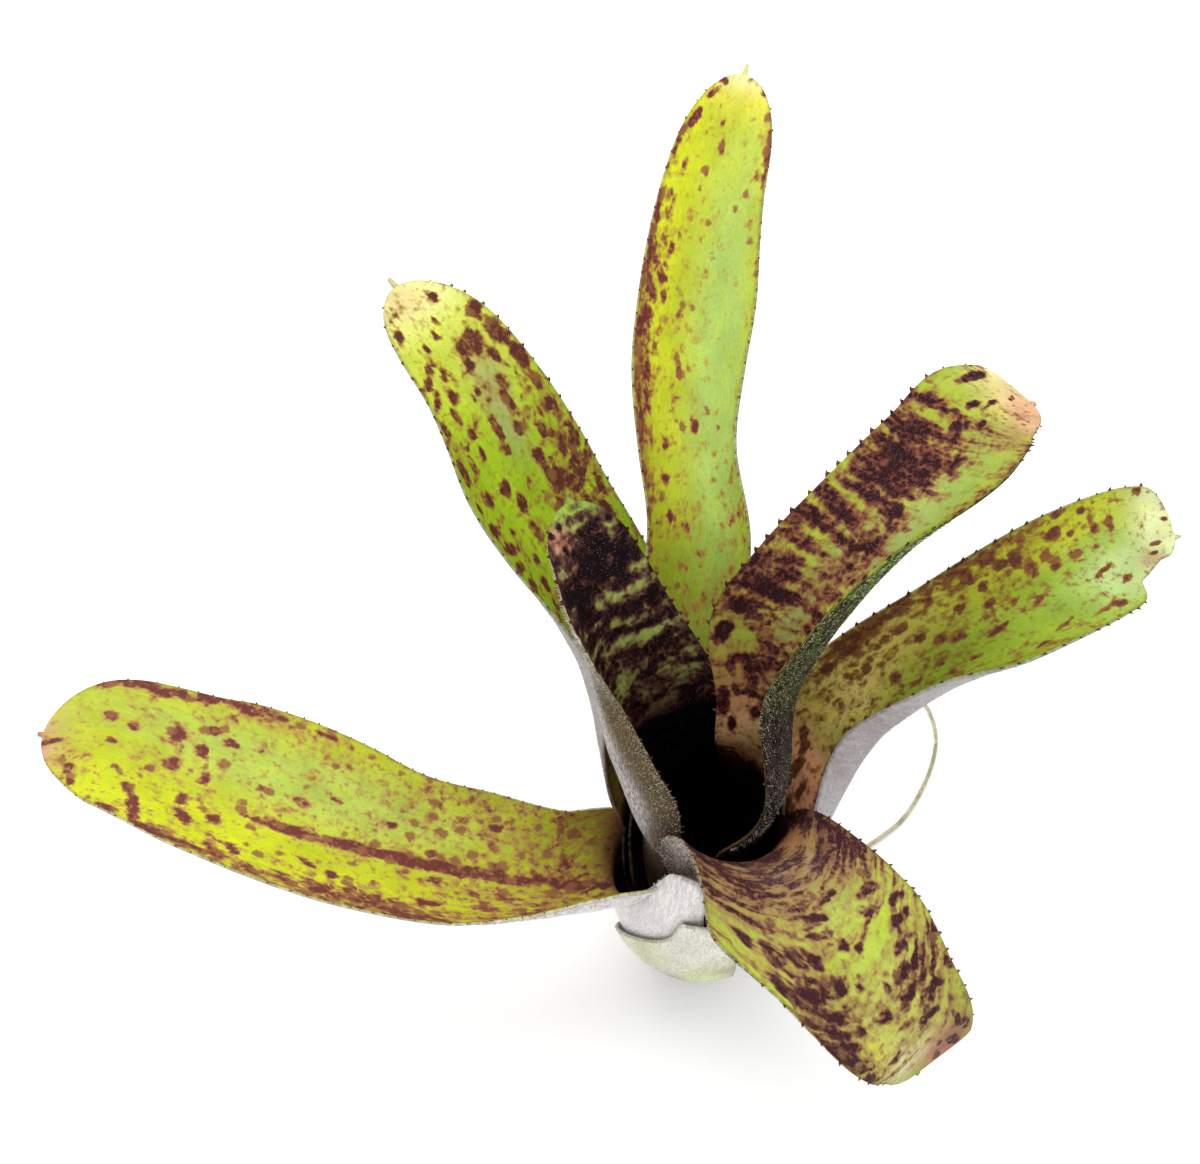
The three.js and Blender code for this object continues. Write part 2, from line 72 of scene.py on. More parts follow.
# Rows and columns of a leaf's mesh. The slight waves of its surface: height, radians a mm along
# and across, and how far each leaf's seed moves them on. The places where they fade in.
SHEATH_ROW = 2
SHEATH_TOP_ROWS = 8
BLADE_ROW = 0.8
TIP_ROWS = 26
SPINE_ROWS = (0.15, 0.5, 1)
COLUMNS = 56
SLOW_WAVE = (0.14, 0.21, 0.33, 1.7)
QUICK_WAVE = (0.05, 0.62, 0.21, 2.3)
WAVES_START = -0.05
WAVES_SPAN = 0.2

# Teeth: a ring of four points at the root, a narrower one at the bend and the hooked tip.
FIRST_TOOTH = 8
LAST_TOOTH = 1.5
TOOTH_SPACING = 3.4
TOOTH_SPACING_RANGE = (0.75, 1.3)
TOOTH_LENGTH = 0.75
TOOTH_SIZE_RANGE = (0.75, 1.15)
TOOTH_BASE = 0.65
TOOTH_DEPTH = 0.22
TOOTH_ROOT = 0.25
TOOTH_REACH = 0.6
TOOTH_HOOK = 0.5
BEND_OUT = 0.55
BEND_AHEAD = 0.12
BEND_WIDTH = 0.38
BEND_DEPTH = 0.45
TOOTH_POINTS = 9
TOOTH_FACES = [
    face
    for k, n in ((0, 1), (1, 2), (2, 3), (3, 0))
    for face in ((k, n, 4 + n), (k, 4 + n, 4 + k), (4 + k, 4 + n, 8))
] + [(2, 1, 0), (3, 2, 0)]

# Hairs: three points at the root and the tip. They lean ahead, out and down, stray, and crowd
# towards the margin.
HAIR_RADIUS = 0.05
HAIR_LENGTH_RANGE = (0.5, 1.1)
HAIR_INWARD_RANGE = (0.02, 1)
HAIR_CROWDING = 1.3
HAIR_ROOT = 0.06
HAIR_STEP = 0.2
HAIR_SHARE = 0.8
HAIR_LEAN = (0.75, 0.35, -0.6)
HAIR_STRAY = 0.28
HAIR_CURVE = 0.15
HAIR_TURNS = (0, 2 * math.pi / 3, 4 * math.pi / 3)
HAIR_POINTS = 4
HAIR_FACES = [(0, 1, 3), (1, 2, 3), (2, 0, 3), (2, 1, 0)]
CLEAR_OF_MARGIN = 9

# Painted patches and blotches: how far a wash or hem stays full, over how many mm a hem rises
# and falls, how fast a blotch fades from its middle, and its least and most level.
WASH_FULLNESS = 1.4
HEM_FULLNESS = 1.6
HEM_RISE = 8
HEM_FALL = 12
MARK_FALL = 0.75
MARK_LEAST = -2
MARK_MOST = 0.7
SEED_STEP = 3.7

# Camera, light and floor, in metres and degrees.
CAMERA_PLACE = (-0.0213, -0.1260, 0.3528)
CAMERA_PITCH = 32
CAMERA_LENS = 48
CAMERA_SENSOR = 36
LIGHT_PLACE = (-0.15, 0.25, 0.8)
LIGHT_AIM = (0, 0, 0.05)
LIGHT_SIZE = 0.6
LIGHT_POWER = 4
WORLD_STRENGTH = 1.12
STUDIO_GAIN = 0.86
FLOOR_SIDE = 1.6
PAPER_GRAIN = 900

# Each leaf: its layer in the tank, heading in degrees, height where the midrib leaves the tank
# wall and the midrib's course from there to the tip. Along the leaf, place -1 is the foot of the
# sheath, 0 the neck and 1 the tip; reach (half width over the surface), curl (how far the
# section has turned up, degrees), lift and tip are given for the left and the right side. The
# sheath opens into the blade between the places in blend. The right margin is torn from torn on.
PLAIN_LEAF = dict(roll=[(0, 0)], lift=[(0, 0, 0)], blend=(0, 0.3), torn=1)
LEAVES = {}

LEAVES["leaf_1"] = dict(
    layer=6, heading=179, neck=38, roll=[(0.3, 0), (1, 8)], blend=(-0.12, 0.12), tip=(17, 15),
    spine=1,
    course=[
        (-28, -4.5, 43.5), (-50, -5.5, 50.5), (-73, -2, 60), (-98, 5.5, 68), (-119, 12.5, 74),
        (-129, 13, 75),
    ],
    reach=[
        (-1, 15, 15), (-0.4, 26, 25), (-0.12, 26, 18), (0, 20, 13), (0.1, 16.5, 14.5),
        (0.25, 16, 17), (0.4, 17.2, 17.6), (0.5, 18, 19.4), (0.6, 18, 20), (0.7, 17.6, 19.2),
        (0.8, 16.8, 16.8), (0.9, 15.2, 14), (1, 13.5, 12.5),
    ],
    curl=[
        (0, 86, 60), (0.12, 98, 55), (0.2, 78, 48), (0.3, 60, 42), (0.4, 50, 38), (0.6, 40, 34),
        (0.8, 30, 25), (1, 12, 12),
    ],
    lift=[
        (-1, 0, 0), (-0.4, 34, 0), (-0.2, 42, 0), (-0.08, 43, 0), (0, 33, 0), (0.05, 14, 0),
        (0.1, 6, 0), (0.25, 0, 0),
    ],
)

LEAVES["leaf_2"] = dict(
    layer=4, heading=126, neck=56,
    curl=[(0, 125, 60), (0.2, 125, 60), (0.35, 95, 52), (0.48, 65, 48), (0.6, 46, 45), (1, 20, 20)],
    tip=(20, 20), spine=2.4,
    course=[
        (-16.5, 26, 68), (-24, 38.5, 83), (-33.1, 51.2, 96), (-41, 65, 108), (-52.2, 78.3, 116),
        (-61, 88, 119),
    ],
    reach=[
        (-1, 13, 14), (-0.4, 15, 28), (0, 13.5, 20), (0.08, 15.5, 19), (0.2, 17, 17),
        (0.35, 15.5, 16), (0.5, 15.2, 15), (0.6, 15.6, 14), (0.7, 13.8, 12.2), (0.8, 11.5, 11.3),
        (1, 10.5, 10.5),
    ],
)

LEAVES["leaf_3"] = dict(
    layer=1, heading=118, neck=66, tip=(8, 9), spine=1,
    course=[
        (-12.3, 13.6, 80), (-17.7, 19.8, 98), (-21, 26.3, 110), (-24.2, 31.7, 116),
        (-26.6, 37.4, 118.3),
    ],
    reach=[
        (-1, 12, 12), (-0.4, 23, 22), (0, 25.5, 18), (0.1, 28.5, 17), (0.18, 29, 16.5),
        (0.25, 27.2, 16), (0.42, 21.6, 15), (0.55, 16, 12.8), (0.67, 11.5, 10.6), (0.78, 8.6, 8.8),
        (0.9, 7, 7.4), (1, 6.2, 6.6),
    ],
    curl=[
        (0, 138, 60), (0.07, 167, 54), (0.13, 175, 50), (0.2, 167, 46), (0.27, 151, 41),
        (0.4, 140, 35), (0.52, 122, 25), (0.64, 85, 18), (0.76, 32, 14), (0.88, -5, 12),
        (1, -25, 10),
    ],
)

LEAVES["leaf_4"] = dict(
    layer=3, heading=89, neck=60,
    course=[(-2, 22, 76), (-3, 36, 90), (-3, 50, 101), (-3, 75, 116), (0, 100, 129), (7, 124, 140)],
    curl=[(0, 60, 60), (0.2, 60, 60), (0.4, 55, 75), (0.6, 50, 50), (1, 20, 20)], tip=(21, 21),
    spine=2.2,
    reach=[
        (-1, 14, 14), (-0.4, 26, 26), (0, 20, 20), (0.25, 12.5, 12), (0.36, 10.4, 12.6),
        (0.46, 12.2, 9.2), (0.57, 13.4, 10.4), (0.66, 12.6, 11.6), (0.76, 11.2, 10.9),
        (0.86, 9.8, 9.8), (1, 9.4, 9.6),
    ],
)

LEAVES["leaf_5"] = dict(
    layer=0, heading=50, neck=76, blend=(0, 0.25), tip=(6, 18), spine=1.2,
    course=[
        (9, 11, 86), (11, 15.5, 98), (17, 21.5, 112), (25.5, 29.5, 120.5), (39.5, 43.5, 124),
        (48, 54.5, 122.5), (59, 60, 118),
    ],
    reach=[
        (-1, 5, 10), (-0.4, 6, 24), (-0.1, 6, 27), (0, 7, 25), (0.15, 10.5, 18), (0.26, 14.6, 16),
        (0.4, 13.4, 16), (0.55, 12, 15), (0.7, 12, 13.5), (0.85, 11.5, 12), (1, 11.5, 11),
    ],
    curl=[
        (0, 50, 140), (0.15, 40, 145), (0.4, 25, 130), (0.52, 20, 105), (0.64, 18, 65),
        (0.8, 15, 28), (1, 10, 10),
    ],
)

LEAVES["leaf_6"] = dict(
    layer=5, heading=27, neck=54, roll=[(0.3, 0), (0.6, 12), (1, 28)], tip=(9, 4), torn=0.848,
    spine=1.6,
    course=[
        (21.8, 12.8, 67), (30.4, 18.4, 81), (40.4, 22.8, 90.5), (52.8, 28, 95), (66.2, 36.2, 96),
        (80, 44.5, 93), (93, 50, 88),
    ],
    reach=[
        (-1, 14, 14), (-0.4, 26, 28), (0, 16, 22), (0.2, 14.2, 23), (0.35, 12, 21.5),
        (0.45, 11, 18.5), (0.55, 12, 15), (0.7, 11.8, 13.4), (0.77, 11.5, 12.9),
        (0.843, 11.2, 11.5), (0.848, 11.2, 11.2), (0.856, 11.2, 8.3), (0.861, 11.2, 8),
        (0.892, 11.1, 6.8), (0.924, 11, 5.2), (0.945, 11, 4.1), (0.982, 11, 3.2), (1, 11, 2),
    ],
    curl=[
        (0, 60, 90), (0.2, 60, 118), (0.35, 50, 122), (0.45, 45, 105), (0.55, 45, 70),
        (0.65, 42, 48), (1, 20, 20),
    ],
)

LEAVES["leaf_7"] = dict(
    layer=2, heading=-62, neck=62, curl=[(0, 60, 60), (0.2, 40, 50), (0.6, 15, 15), (1, 10, 10)],
    roll=[(0.1, 0), (0.3, -4), (1, -8)], tip=(5, 16), spine=1,
    course=[
        (8.5, -13.5, 78), (13, -23.5, 92), (19, -35.5, 98), (27, -45, 91), (33, -48.8, 81.5),
        (34, -51, 72),
    ],
    reach=[
        (-1, 13, 11), (-0.4, 26, 16), (-0.15, 20, 14.5), (0, 16.5, 17), (0.1, 13.5, 17.5),
        (0.2, 12.6, 16), (0.3, 12.5, 16), (0.4, 13, 18), (0.45, 13.5, 19.6), (0.5, 14, 21),
        (0.6, 14.5, 16.6), (0.75, 13, 13), (0.9, 11, 10.5), (1, 11, 10),
    ],
    lift=[
        (-1, 0, 0), (-0.4, 0, 4), (-0.1, 0, 9), (0.1, 0, 10), (0.2, 0, 7), (0.3, 0, 1.5),
        (0.4, 0, 0),
    ],
)

LEAVES["old_sheath"] = dict(
    layer=7, heading=-95, neck=60, course=[(-2, -22, 63)], curl=[(0, 60, 60)], blend=(0.9, 1),
    tip=(0, 0), spine=0,
    reach=[
        (-1, 12, 6), (-0.75, 8, 20), (-0.55, 8, 20), (-0.4, 8, 15), (-0.2, 6, 7), (0, 3, 4),
        (1, 1, 1.5),
    ],
)


# ------------------------------------------------------------------ the shape of a leaf


def ease(value):
    t = np.clip(value, 0, 1)
    return t * t * (3 - 2 * t)


def follow(rows, x):
    """A smooth curve through rows (x, y1, y2 ...): every y at each x."""
    x = np.atleast_1d(np.asarray(x, float))
    table = np.array(rows, float)
    at, values = table[:, 0], table[:, 1:]
    if len(table) == 1:
        return np.repeat(values, len(x), axis=0)
    gap = np.diff(at)[:, None]
    step = np.diff(values, axis=0) / gap
    inner = (step[:-1] * gap[1:] + step[1:] * gap[:-1]) / (gap[:-1] + gap[1:])
    slope = np.vstack([step[:1], inner, step[-1:]])
    x = np.clip(x, at[0], at[-1])
    i = np.clip(np.searchsorted(at, x, side="right") - 1, 0, len(at) - 2)
    span = (at[i + 1] - at[i])[:, None]
    t = (x - at[i])[:, None] / span
    return (
        (2 * t**3 - 3 * t**2 + 1) * values[i]
        + (t**3 - 2 * t**2 + t) * span * slope[i]
        + (-2 * t**3 + 3 * t**2) * values[i + 1]
        + (t**3 - t**2) * span * slope[i + 1]
    )


def tank_radius(layer, height):
    height = np.asarray(height, float)
    flat = height.ravel()
    bore = follow(TANK_BORE, flat + layer * SHEATH_RISE)[:, 0]
    opening = ease(flat / PITCH_FULL_HEIGHT)
    pitch = SHEATH_PITCH * (PITCH_AT_GROUND + (1 - PITCH_AT_GROUND) * opening)
    return (bore + layer * pitch).reshape(height.shape)


def unit(vectors):
    return vectors / np.linalg.norm(vectors, axis=-1, keepdims=True)


class Leaf:
    """A leaf from its sheath's foot (place -1) through its neck (0) to its tip (1), in mm."""

    def __init__(self, name):
        self.__dict__.update(PLAIN_LEAF, **LEAVES[name])
        angle = math.radians(self.heading)
        self.out = np.array([math.cos(angle), math.sin(angle), 0.0])
        self.side = np.array([-math.sin(angle), math.cos(angle), 0.0])
        foot = TOP_FOOT_HEIGHT - SHEATH_RISE * self.layer
        heights = [*np.arange(foot, self.neck - CLEAR_OF_NECK, SHEATH_STEP), self.neck]
        wall = [self.out * tank_radius(self.layer, z) + UP * z for z in heights]
        points = np.array(wall + [np.array(p, float) for p in self.course])
        lengths = np.linalg.norm(np.diff(points, axis=0), axis=1)
        along = np.concatenate([[0], np.cumsum(lengths)])
        self.midrib = np.column_stack([along, points])
        self.neck_length = along[len(wall) - 1]
        self.length = along[-1]
        self.blade_length = self.length - self.neck_length
        self.pointing = unit(points[-1] - follow(self.midrib, self.length - TIP_NUDGE)[0])

    def from_neck(self, place):
        return np.where(place < 0, place * self.neck_length, place * self.blade_length)

    def midrib_point(self, distance):
        past = np.maximum(distance - self.length, 0)[:, None]
        return follow(self.midrib, distance) + past * self.pointing

    def half_widths(self, place):
        reach = follow(self.reach, place)
        if not self.spine:
            return reach
        distance = self.neck_length + self.from_neck(place)
        tip = np.array(self.tip, float)
        along = np.clip((distance[:, None] - (self.length - tip)) / tip, 0, 1)
        shape = np.sqrt(1 - along**2)
        past = np.clip((distance - self.length) / self.spine, 0, 1)
        spine = SPINE_HALF_WIDTH + (SPINE_TIP_HALF_WIDTH - SPINE_HALF_WIDTH) * past
        return np.maximum(reach * shape, spine[:, None])

    def stations(self, place):
        """Midrib points, section axes and how far each station has become a blade."""
        distance = self.neck_length + self.from_neck(place)
        before, point, after = (
            self.midrib_point(distance + step) for step in (-COURSE_NUDGE, 0, COURSE_NUDGE)
        )
        along = unit(after - before)
        blade = ease((place - self.blend[0]) / (self.blend[1] - self.blend[0]))[:, None]
        across = unit(self.side - (along @ self.side)[:, None] * along)
        normal = unit(np.cross(along, across) * blade - self.out * (1 - blade))
        across = across * blade + self.side * (1 - blade)
        across = unit(across - (across * normal).sum(1)[:, None] * normal)
        roll = np.radians(follow(self.roll, place)) * blade
        turned = across * np.cos(roll) + normal * np.sin(roll)
        facing = normal * np.cos(roll) - across * np.sin(roll)
        return point, turned, facing, blade

    def surface(self, place, offset):
        """Middle points and normals of the leaf; offset (n, m) is mm left (+) or right (-)."""
        behind = np.maximum(place - NUDGE, -1)
        ahead = self.points(place + NUDGE, offset) - self.points(behind, offset)
        leftward = self.points(place, offset + NUDGE) - self.points(place, offset - NUDGE)
        return self.points(place, offset), unit(np.cross(ahead, leftward))

    def points(self, place, offset):
        point, across, normal, blade = self.stations(place)
        reach, curl, lift = (
            np.where(offset >= 0, pair[:, :1], pair[:, 1:])
            for pair in (follow(rows, place) for rows in (self.reach, self.curl, self.lift))
        )
        lift = lift * (offset / reach) ** 2
        radius = np.hypot(point[:, 0], point[:, 1])[:, None]
        bend = (1 - blade) / radius + blade * np.radians(curl) / reach
        bend = np.where(np.abs(bend) < FLATTEST, FLATTEST, bend)
        turn = bend * offset
        position = (
            point[:, None]
            + across[:, None] * (np.sin(turn) / bend)[..., None]
            + normal[:, None] * ((1 - np.cos(turn)) / bend)[..., None]
        )
        height = np.repeat(point[:, 2:], offset.shape[1], axis=1)
        lifted = tank_radius(self.layer, height + lift) / tank_radius(self.layer, height)
        position[..., :2] *= (1 + (1 - blade) * (lifted - 1))[..., None]
        position[..., 2] += lift
        return position

    def thickness(self, place, share):
        flat = BLADE_MIDDLE + (BLADE_MARGIN - BLADE_MIDDLE) * np.abs(share) ** 1.5
        thinned = np.where(place[:, None] < 0, flat * SHEATH_THINNING, flat)
        return np.maximum(THINNEST, thinned)


# ------------------------------------------------------------------ materials

# How often each pattern repeats, along and across the leaf, in turns a mm.
DRIFT, BROAD, WARMTH = (0.5, 0.5), (0.09, 0.16), (0.2, 0.42)
VEINS, MOTTLE, FLECKS = (0.35, 3.4), (1.3, 1.7), (0.9, 2.2)
SPECKS, SPECK_PATCHES, SPOTS = (0.62, 0.8), (0.4, 0.6, 3), (0.3, 0.42)
SCALES, SCURF_ROWS, POWDER = (2.2, 1.9), (1.5, 0.3), (2.6, 3.2)

# How far the drift moves the patterns, in mm, and the relief of ribs and pits, in metres.
DRIFT_REACH = 1.5
RIB_RELIEF = 0.00012
PIT_RELIEF = 0.0002

# Windows of a noise's value: all but its ends, and a soft edge through its middle.
BROADLY = (0.3, 0.7)
HALFWAY = (0.42, 0.58)

# How yellow the warm patches turn; the distance from a cell's middle at which a mark is even;
# the size of the largest spots, how soft their edges are and how much they cover; and how much
# a tooth's own colour covers it.
WARM_TINT = (1.12, 1.08, 0.4)
CELL_EDGE = 0.42
SPOT_MOST = 0.55
SPOT_SOFTNESS = 0.24
SPOT_COVER = 0.9
TOOTH_COVER = 0.85


def srgb(red, green, blue, gain=STUDIO_GAIN):
    """A linear colour from 0-255 display values, as it looks under the studio light."""
    return tuple(
        gain * (v / 12.92 if v <= 0.04045 else ((v + 0.055) / 1.055) ** 2.4)
        for v in (red / 255, green / 255, blue / 255)
    )


class Nodes:
    """Short calls that add and join the nodes of one material."""

    def __init__(self, name):
        self.material = bpy.data.materials.new(name)
        self.material.use_nodes = True
        self.tree = self.material.node_tree
        self.tree.nodes.clear()
        self.shader = self.add("BsdfPrincipled", {})
        self.add("OutputMaterial", {"Surface": self.shader.outputs["BSDF"]})

    def add(self, kind, inputs, **settings):
        """A node with its settings, and a value or a link at each of the given inputs."""
        node = self.tree.nodes.new("ShaderNode" + kind)
        for key, value in settings.items():
            setattr(node, key, value)
        self.fill(node, inputs)
        return node

    def fill(self, node, inputs):
        """Sets or links the named inputs of a node."""
        for key, value in inputs.items():
            socket = node.inputs[key]
            if isinstance(value, bpy.types.NodeSocket):
                self.tree.links.new(value, socket)
            elif socket.type == "RGBA":
                socket.default_value = (*value[:3], 1)
            else:
                socket.default_value = value

    def split(self, vector):
        return list(self.add("SeparateXYZ", {0: vector}).outputs)

    def attribute(self, name):
        return self.add("Attribute", {}, attribute_name=name).outputs["Vector"]

    def math(self, operation, a, b=0.0, c=0.0):
        return self.add("Math", {0: a, 1: b, 2: c}, operation=operation).outputs[0]

    def times(self, first, *others):
        for other in others:
            first = self.math("MULTIPLY", first, other)
        return first

    def sway(self, value, amount, base=0.0, centre=0.5):
        """The base, moved by an amount of how far the value is from its centre."""
        return self.math("MULTIPLY_ADD", self.math("SUBTRACT", value, centre), amount, base)

    def scaled(self, vector, x, y, z=1):
        return self.add("VectorMath", {0: vector, 1: (x, y, z)}, operation="MULTIPLY").outputs[0]

    def shifted(self, vector, offset, amount):
        inputs = {0: offset, 1: (amount, amount, 0), 2: vector}
        return self.add("VectorMath", inputs, operation="MULTIPLY_ADD").outputs[0]

    def slanted(self, vector, slope, bow):
        """The vector with its first part moved on, so that bands across it slant and bow."""
        along, offset, seed = self.split(vector)
        turned = self.math("MULTIPLY_ADD", self.times(offset, offset), bow, along)
        turned = self.math("MULTIPLY_ADD", offset, slope, turned)
        return self.add("CombineXYZ", {0: turned, 1: offset, 2: seed}).outputs[0]

    def noise(self, vector, detail=2.0, roughness=0.5, output="Fac"):
        inputs = {"Vector": vector, "Scale": 1, "Detail": detail, "Roughness": roughness}
        return self.add("TexNoise", inputs).outputs[output]

    def cells(self, vector, jitter=1):
        """A cell texture's outputs: Distance from the cell's middle, and its own Color."""
        inputs = {"Vector": vector, "Scale": 1, "Randomness": jitter}
        return self.add("TexVoronoi", inputs).outputs

    def ramp(self, value, low, high, to_low=0.0, to_high=1.0, kind="SMOOTHSTEP"):
        inputs = {
            "Value": value, "From Min": low, "From Max": high, "To Min": to_low, "To Max": to_high,
        }
        return self.add("MapRange", inputs, interpolation_type=kind).outputs["Result"]

    def mix(self, factor, a, b, blend="MIX"):
        inputs = {"Factor": factor, "A": a, "B": b}
        return self.add("Mix", inputs, data_type="RGBA", blend_type=blend).outputs["Result"]

    def bump(self, height, distance, strength, **more):
        inputs = {"Height": height, "Distance": distance, "Strength": strength, **more}
        return self.add("Bump", inputs).outputs["Normal"]

    def finished(self, colour, roughness, **more):
        self.fill(self.shader, {"Base Color": colour, "Roughness": roughness, **more})
        return self.material


def leaf_material(name, look):
    """Spotted leaf: tinted ground, dark marks, scurf of white scales, brown margins and teeth."""
    n = Nodes(name)
    here = n.attribute("leaf_mm")
    tint = n.attribute("tint")
    dark, scurf, dots = n.split(n.attribute("coat"))
    margin, under, tooth = n.split(n.attribute("where"))
    loose = n.shifted(here, n.noise(n.scaled(here, *DRIFT), output="Color"), DRIFT_REACH)
    slanted = n.slanted(loose, look["slant"], look["bow"])

    # Ground colour: broad drift, fine veins along the leaf and a mottle of small cells.
    broad = n.noise(n.scaled(here, *BROAD))
    fine = n.noise(n.scaled(loose, *VEINS))
    cell = n.noise(n.scaled(loose, *MOTTLE), 3, 0.6)
    shade = n.ramp(broad, *BROADLY, -0.12, 0.12, "LINEAR")
    shade = n.sway(cell, 0.3, n.sway(fine, look["vein"], shade))
    ground = n.mix(1, tint, n.math("ADD", shade, 1), "MULTIPLY")
    warm = n.ramp(n.noise(n.scaled(loose, *WARMTH)), 0.5, 0.72, 0, 0.45)
    warm = n.times(warm, n.math("SUBTRACT", 1, under))
    ground = n.mix(warm, ground, n.mix(1, ground, WARM_TINT, "MULTIPLY"))

    # Dark marks: small cells gathered into streaks and broken bands across the leaf.
    streak = n.noise(n.scaled(slanted, *look["streak"]), 2.5, 0.6)
    band = n.noise(n.scaled(slanted, *look["band"]), 2, 0.55)
    field = n.times(streak, 1 - look["banding"])
    field = n.math("MULTIPLY_ADD", band, look["banding"], field)
    grain = n.cells(n.scaled(loose, *look["grain"]))
    chance = n.split(grain["Color"])[0]
    field = n.sway(chance, -look["chance"], n.sway(field, look["contrast"]))
    level = n.math("ADD", n.sway(grain["Distance"], -look["cells"], field, CELL_EDGE), dark)
    soft = n.ramp(level, *look["soft"])
    deep = n.ramp(level, *look["depth"])
    heart = n.ramp(n.sway(cell, -1.6, level), 0.1, 0.75)
    mark = n.mix(deep, look["mark_light"], n.mix(heart, look["mark"], look["deep"]))
    # How far the tint is from black: near 0 in the painted shade inside the tank, 1 elsewhere. The
    # marks, dots, spots, white scales and margin line darken with the painted shade by it.
    clear_of_painted_shade = n.ramp(n.split(tint)[1], 0, 0.06, 0.01)
    mark = n.mix(1, mark, clear_of_painted_shade, "MULTIPLY")
    coloured = n.mix(n.times(soft, look["cover"]), ground, mark)

    # The under side is finely mottled.
    fleck = n.ramp(n.noise(n.scaled(here, *FLECKS), 2, 0.7), *HALFWAY)
    coloured = n.mix(n.times(fleck, under, look["under_mottle"]), coloured, look["under_deep"])

    # Fine brown dots between the marks.
    speck = n.cells(n.scaled(loose, *SPECKS))["Distance"]
    spread = n.noise(n.scaled(here, *SPECK_PATCHES))
    # Squared, so that dots and spots fade out sooner in the painted shade.
    lit = n.times(clear_of_painted_shade, clear_of_painted_shade)
    few = n.times(n.ramp(speck, 0.42, 0.1), n.ramp(spread, *HALFWAY), lit, dots)
    coloured = n.mix(few, coloured, look["mark_light"])

    # Round soft spots, more and larger where the leaf is dark.
    spot = n.cells(n.scaled(loose, *SPOTS))
    luck = n.math("MULTIPLY_ADD", dark, 0.6, n.split(spot["Color"])[0])
    size = n.ramp(luck, 1 - look["spots"], 1.6 - look["spots"], 0, SPOT_MOST, "LINEAR")
    full = n.math("SUBTRACT", size, SPOT_SOFTNESS)
    spotted = n.ramp(n.sway(cell, 0.4, spot["Distance"]), size, full)
    spotted = n.times(spotted, n.ramp(size, 0.02, 0.14, 0, SPOT_COVER), lit)
    spot_colour = n.mix(0.75, look["mark_light"], look["mark"])
    coloured = n.mix(spotted, coloured, n.mix(1, spot_colour, clear_of_painted_shade, "MULTIPLY"))

    # White scales: a pale grit over the dark, and scurf in rows where the leaf is scurfy.
    scale = n.cells(n.scaled(here, *SCALES), 0.9)["Distance"]
    coloured = n.mix(n.times(n.ramp(scale, 0.3, 0.1), deep, look["grit"]), coloured, look["scale"])
    rows = n.noise(n.scaled(loose, *SCURF_ROWS))
    powder = n.noise(n.scaled(here, *POWDER), 3, 0.7)
    dust = n.ramp(n.times(n.math("ADD", rows, powder), 0.7), 0.6, 0.9)
    dotted = n.times(n.ramp(scale, 0.3, 0.08), n.ramp(scurf, 0, 0.5, 0, 0.9, "LINEAR"))
    dotted = n.times(dotted, n.ramp(powder, *HALFWAY))
    heavy = n.times(dust, n.ramp(scurf, 0.2, 1, 0, 0.9, "LINEAR"))
    white = n.times(n.math("MAXIMUM", dotted, heavy), clear_of_painted_shade)
    coloured = n.mix(white, coloured, look["scale"])

    # Brown line along the margin, dark teeth and pale hairs.
    edge = n.times(n.ramp(margin, 0.7, 0.1), n.ramp(cell, 0.35, 0.6, 0.2, 0.9), clear_of_painted_shade)
    coloured = n.mix(n.times(edge, look["edge"]), coloured, look["tooth"])
    coloured = n.mix(n.times(tooth, TOOTH_COVER), coloured, look["tooth"])
    coloured = n.mix(n.ramp(tooth, 1.2, 1.8), coloured, look["hair"])

    rough = n.ramp(powder, *BROADLY, 0.46, 0.62, "LINEAR")
    ribs = n.bump(fine, RIB_RELIEF, 0.7)
    pits = n.bump(n.math("MULTIPLY_ADD", white, 0.6, cell), PIT_RELIEF, 0.6, Normal=ribs)
    n.fill(n.shader, {"Specular IOR Level": look["gloss"], "Normal": pits})
    return n.finished(coloured, n.math("MULTIPLY_ADD", white, 0.3, rough))


def plain_material(name, light, shadow, spread, roughness, relief):
    """Mottled dry plant matter for the stem and roots."""
    n = Nodes(name)
    where = n.add("TexCoord", {}).outputs["Object"]
    coarse = n.noise(n.scaled(where, spread * 0.25, spread * 0.25, spread * 0.7), 4, 0.6)
    fine = n.noise(n.scaled(where, spread * 1.6, spread * 1.6, spread * 0.8), 4, 0.7)
    colour = n.mix(n.ramp(coarse, 0.35, 0.65), shadow, light)
    colour = n.mix(1, colour, n.ramp(fine, *BROADLY, 0.7, 1.2, "LINEAR"), "MULTIPLY")
    rough = n.ramp(fine, *BROADLY, roughness - 0.1, roughness + 0.08)
    return n.finished(colour, rough, Normal=n.bump(n.math("ADD", coarse, fine), relief, 0.8))


# ------------------------------------------------------------------ leaf meshes


def leaf_places(leaf):
    """The places of a leaf's rows, from the sheath's foot to the end of its spine."""
    sheath = np.linspace(-1, 0, math.ceil(leaf.neck_length / SHEATH_ROW) + 1)[:-1]
    if not leaf.spine:
        return np.concatenate([sheath, np.linspace(0, 1, SHEATH_TOP_ROWS)])
    tip_start = 1 - max(leaf.tip) / leaf.blade_length
    blade = np.linspace(0, tip_start, math.ceil(leaf.blade_length * tip_start / BLADE_ROW))
    tip = tip_start + (1 - tip_start) * np.sin(np.linspace(0, math.pi / 2, TIP_ROWS))
    spine = 1 + leaf.spine / leaf.blade_length * np.array(SPINE_ROWS)
    return np.concatenate([sheath, blade[:-1], tip, spine])


def wave(along, offset, seed):
    """Slight unevenness of a living leaf's surface, in mm."""
    height, turn, cross, shift = SLOW_WAVE
    slow = height * np.sin(along * turn + seed) * np.cos(offset * cross + seed * shift)
    height, turn, cross, shift = QUICK_WAVE
    return slow + height * np.sin(along * turn + offset * cross + seed * shift)


def repeated(pattern, size, total):
    """The triangles of like bodies of a size in points, as many as give that total."""
    return (np.arange(0, total, size)[:, None, None] + np.array(pattern)).reshape(-1, 3)


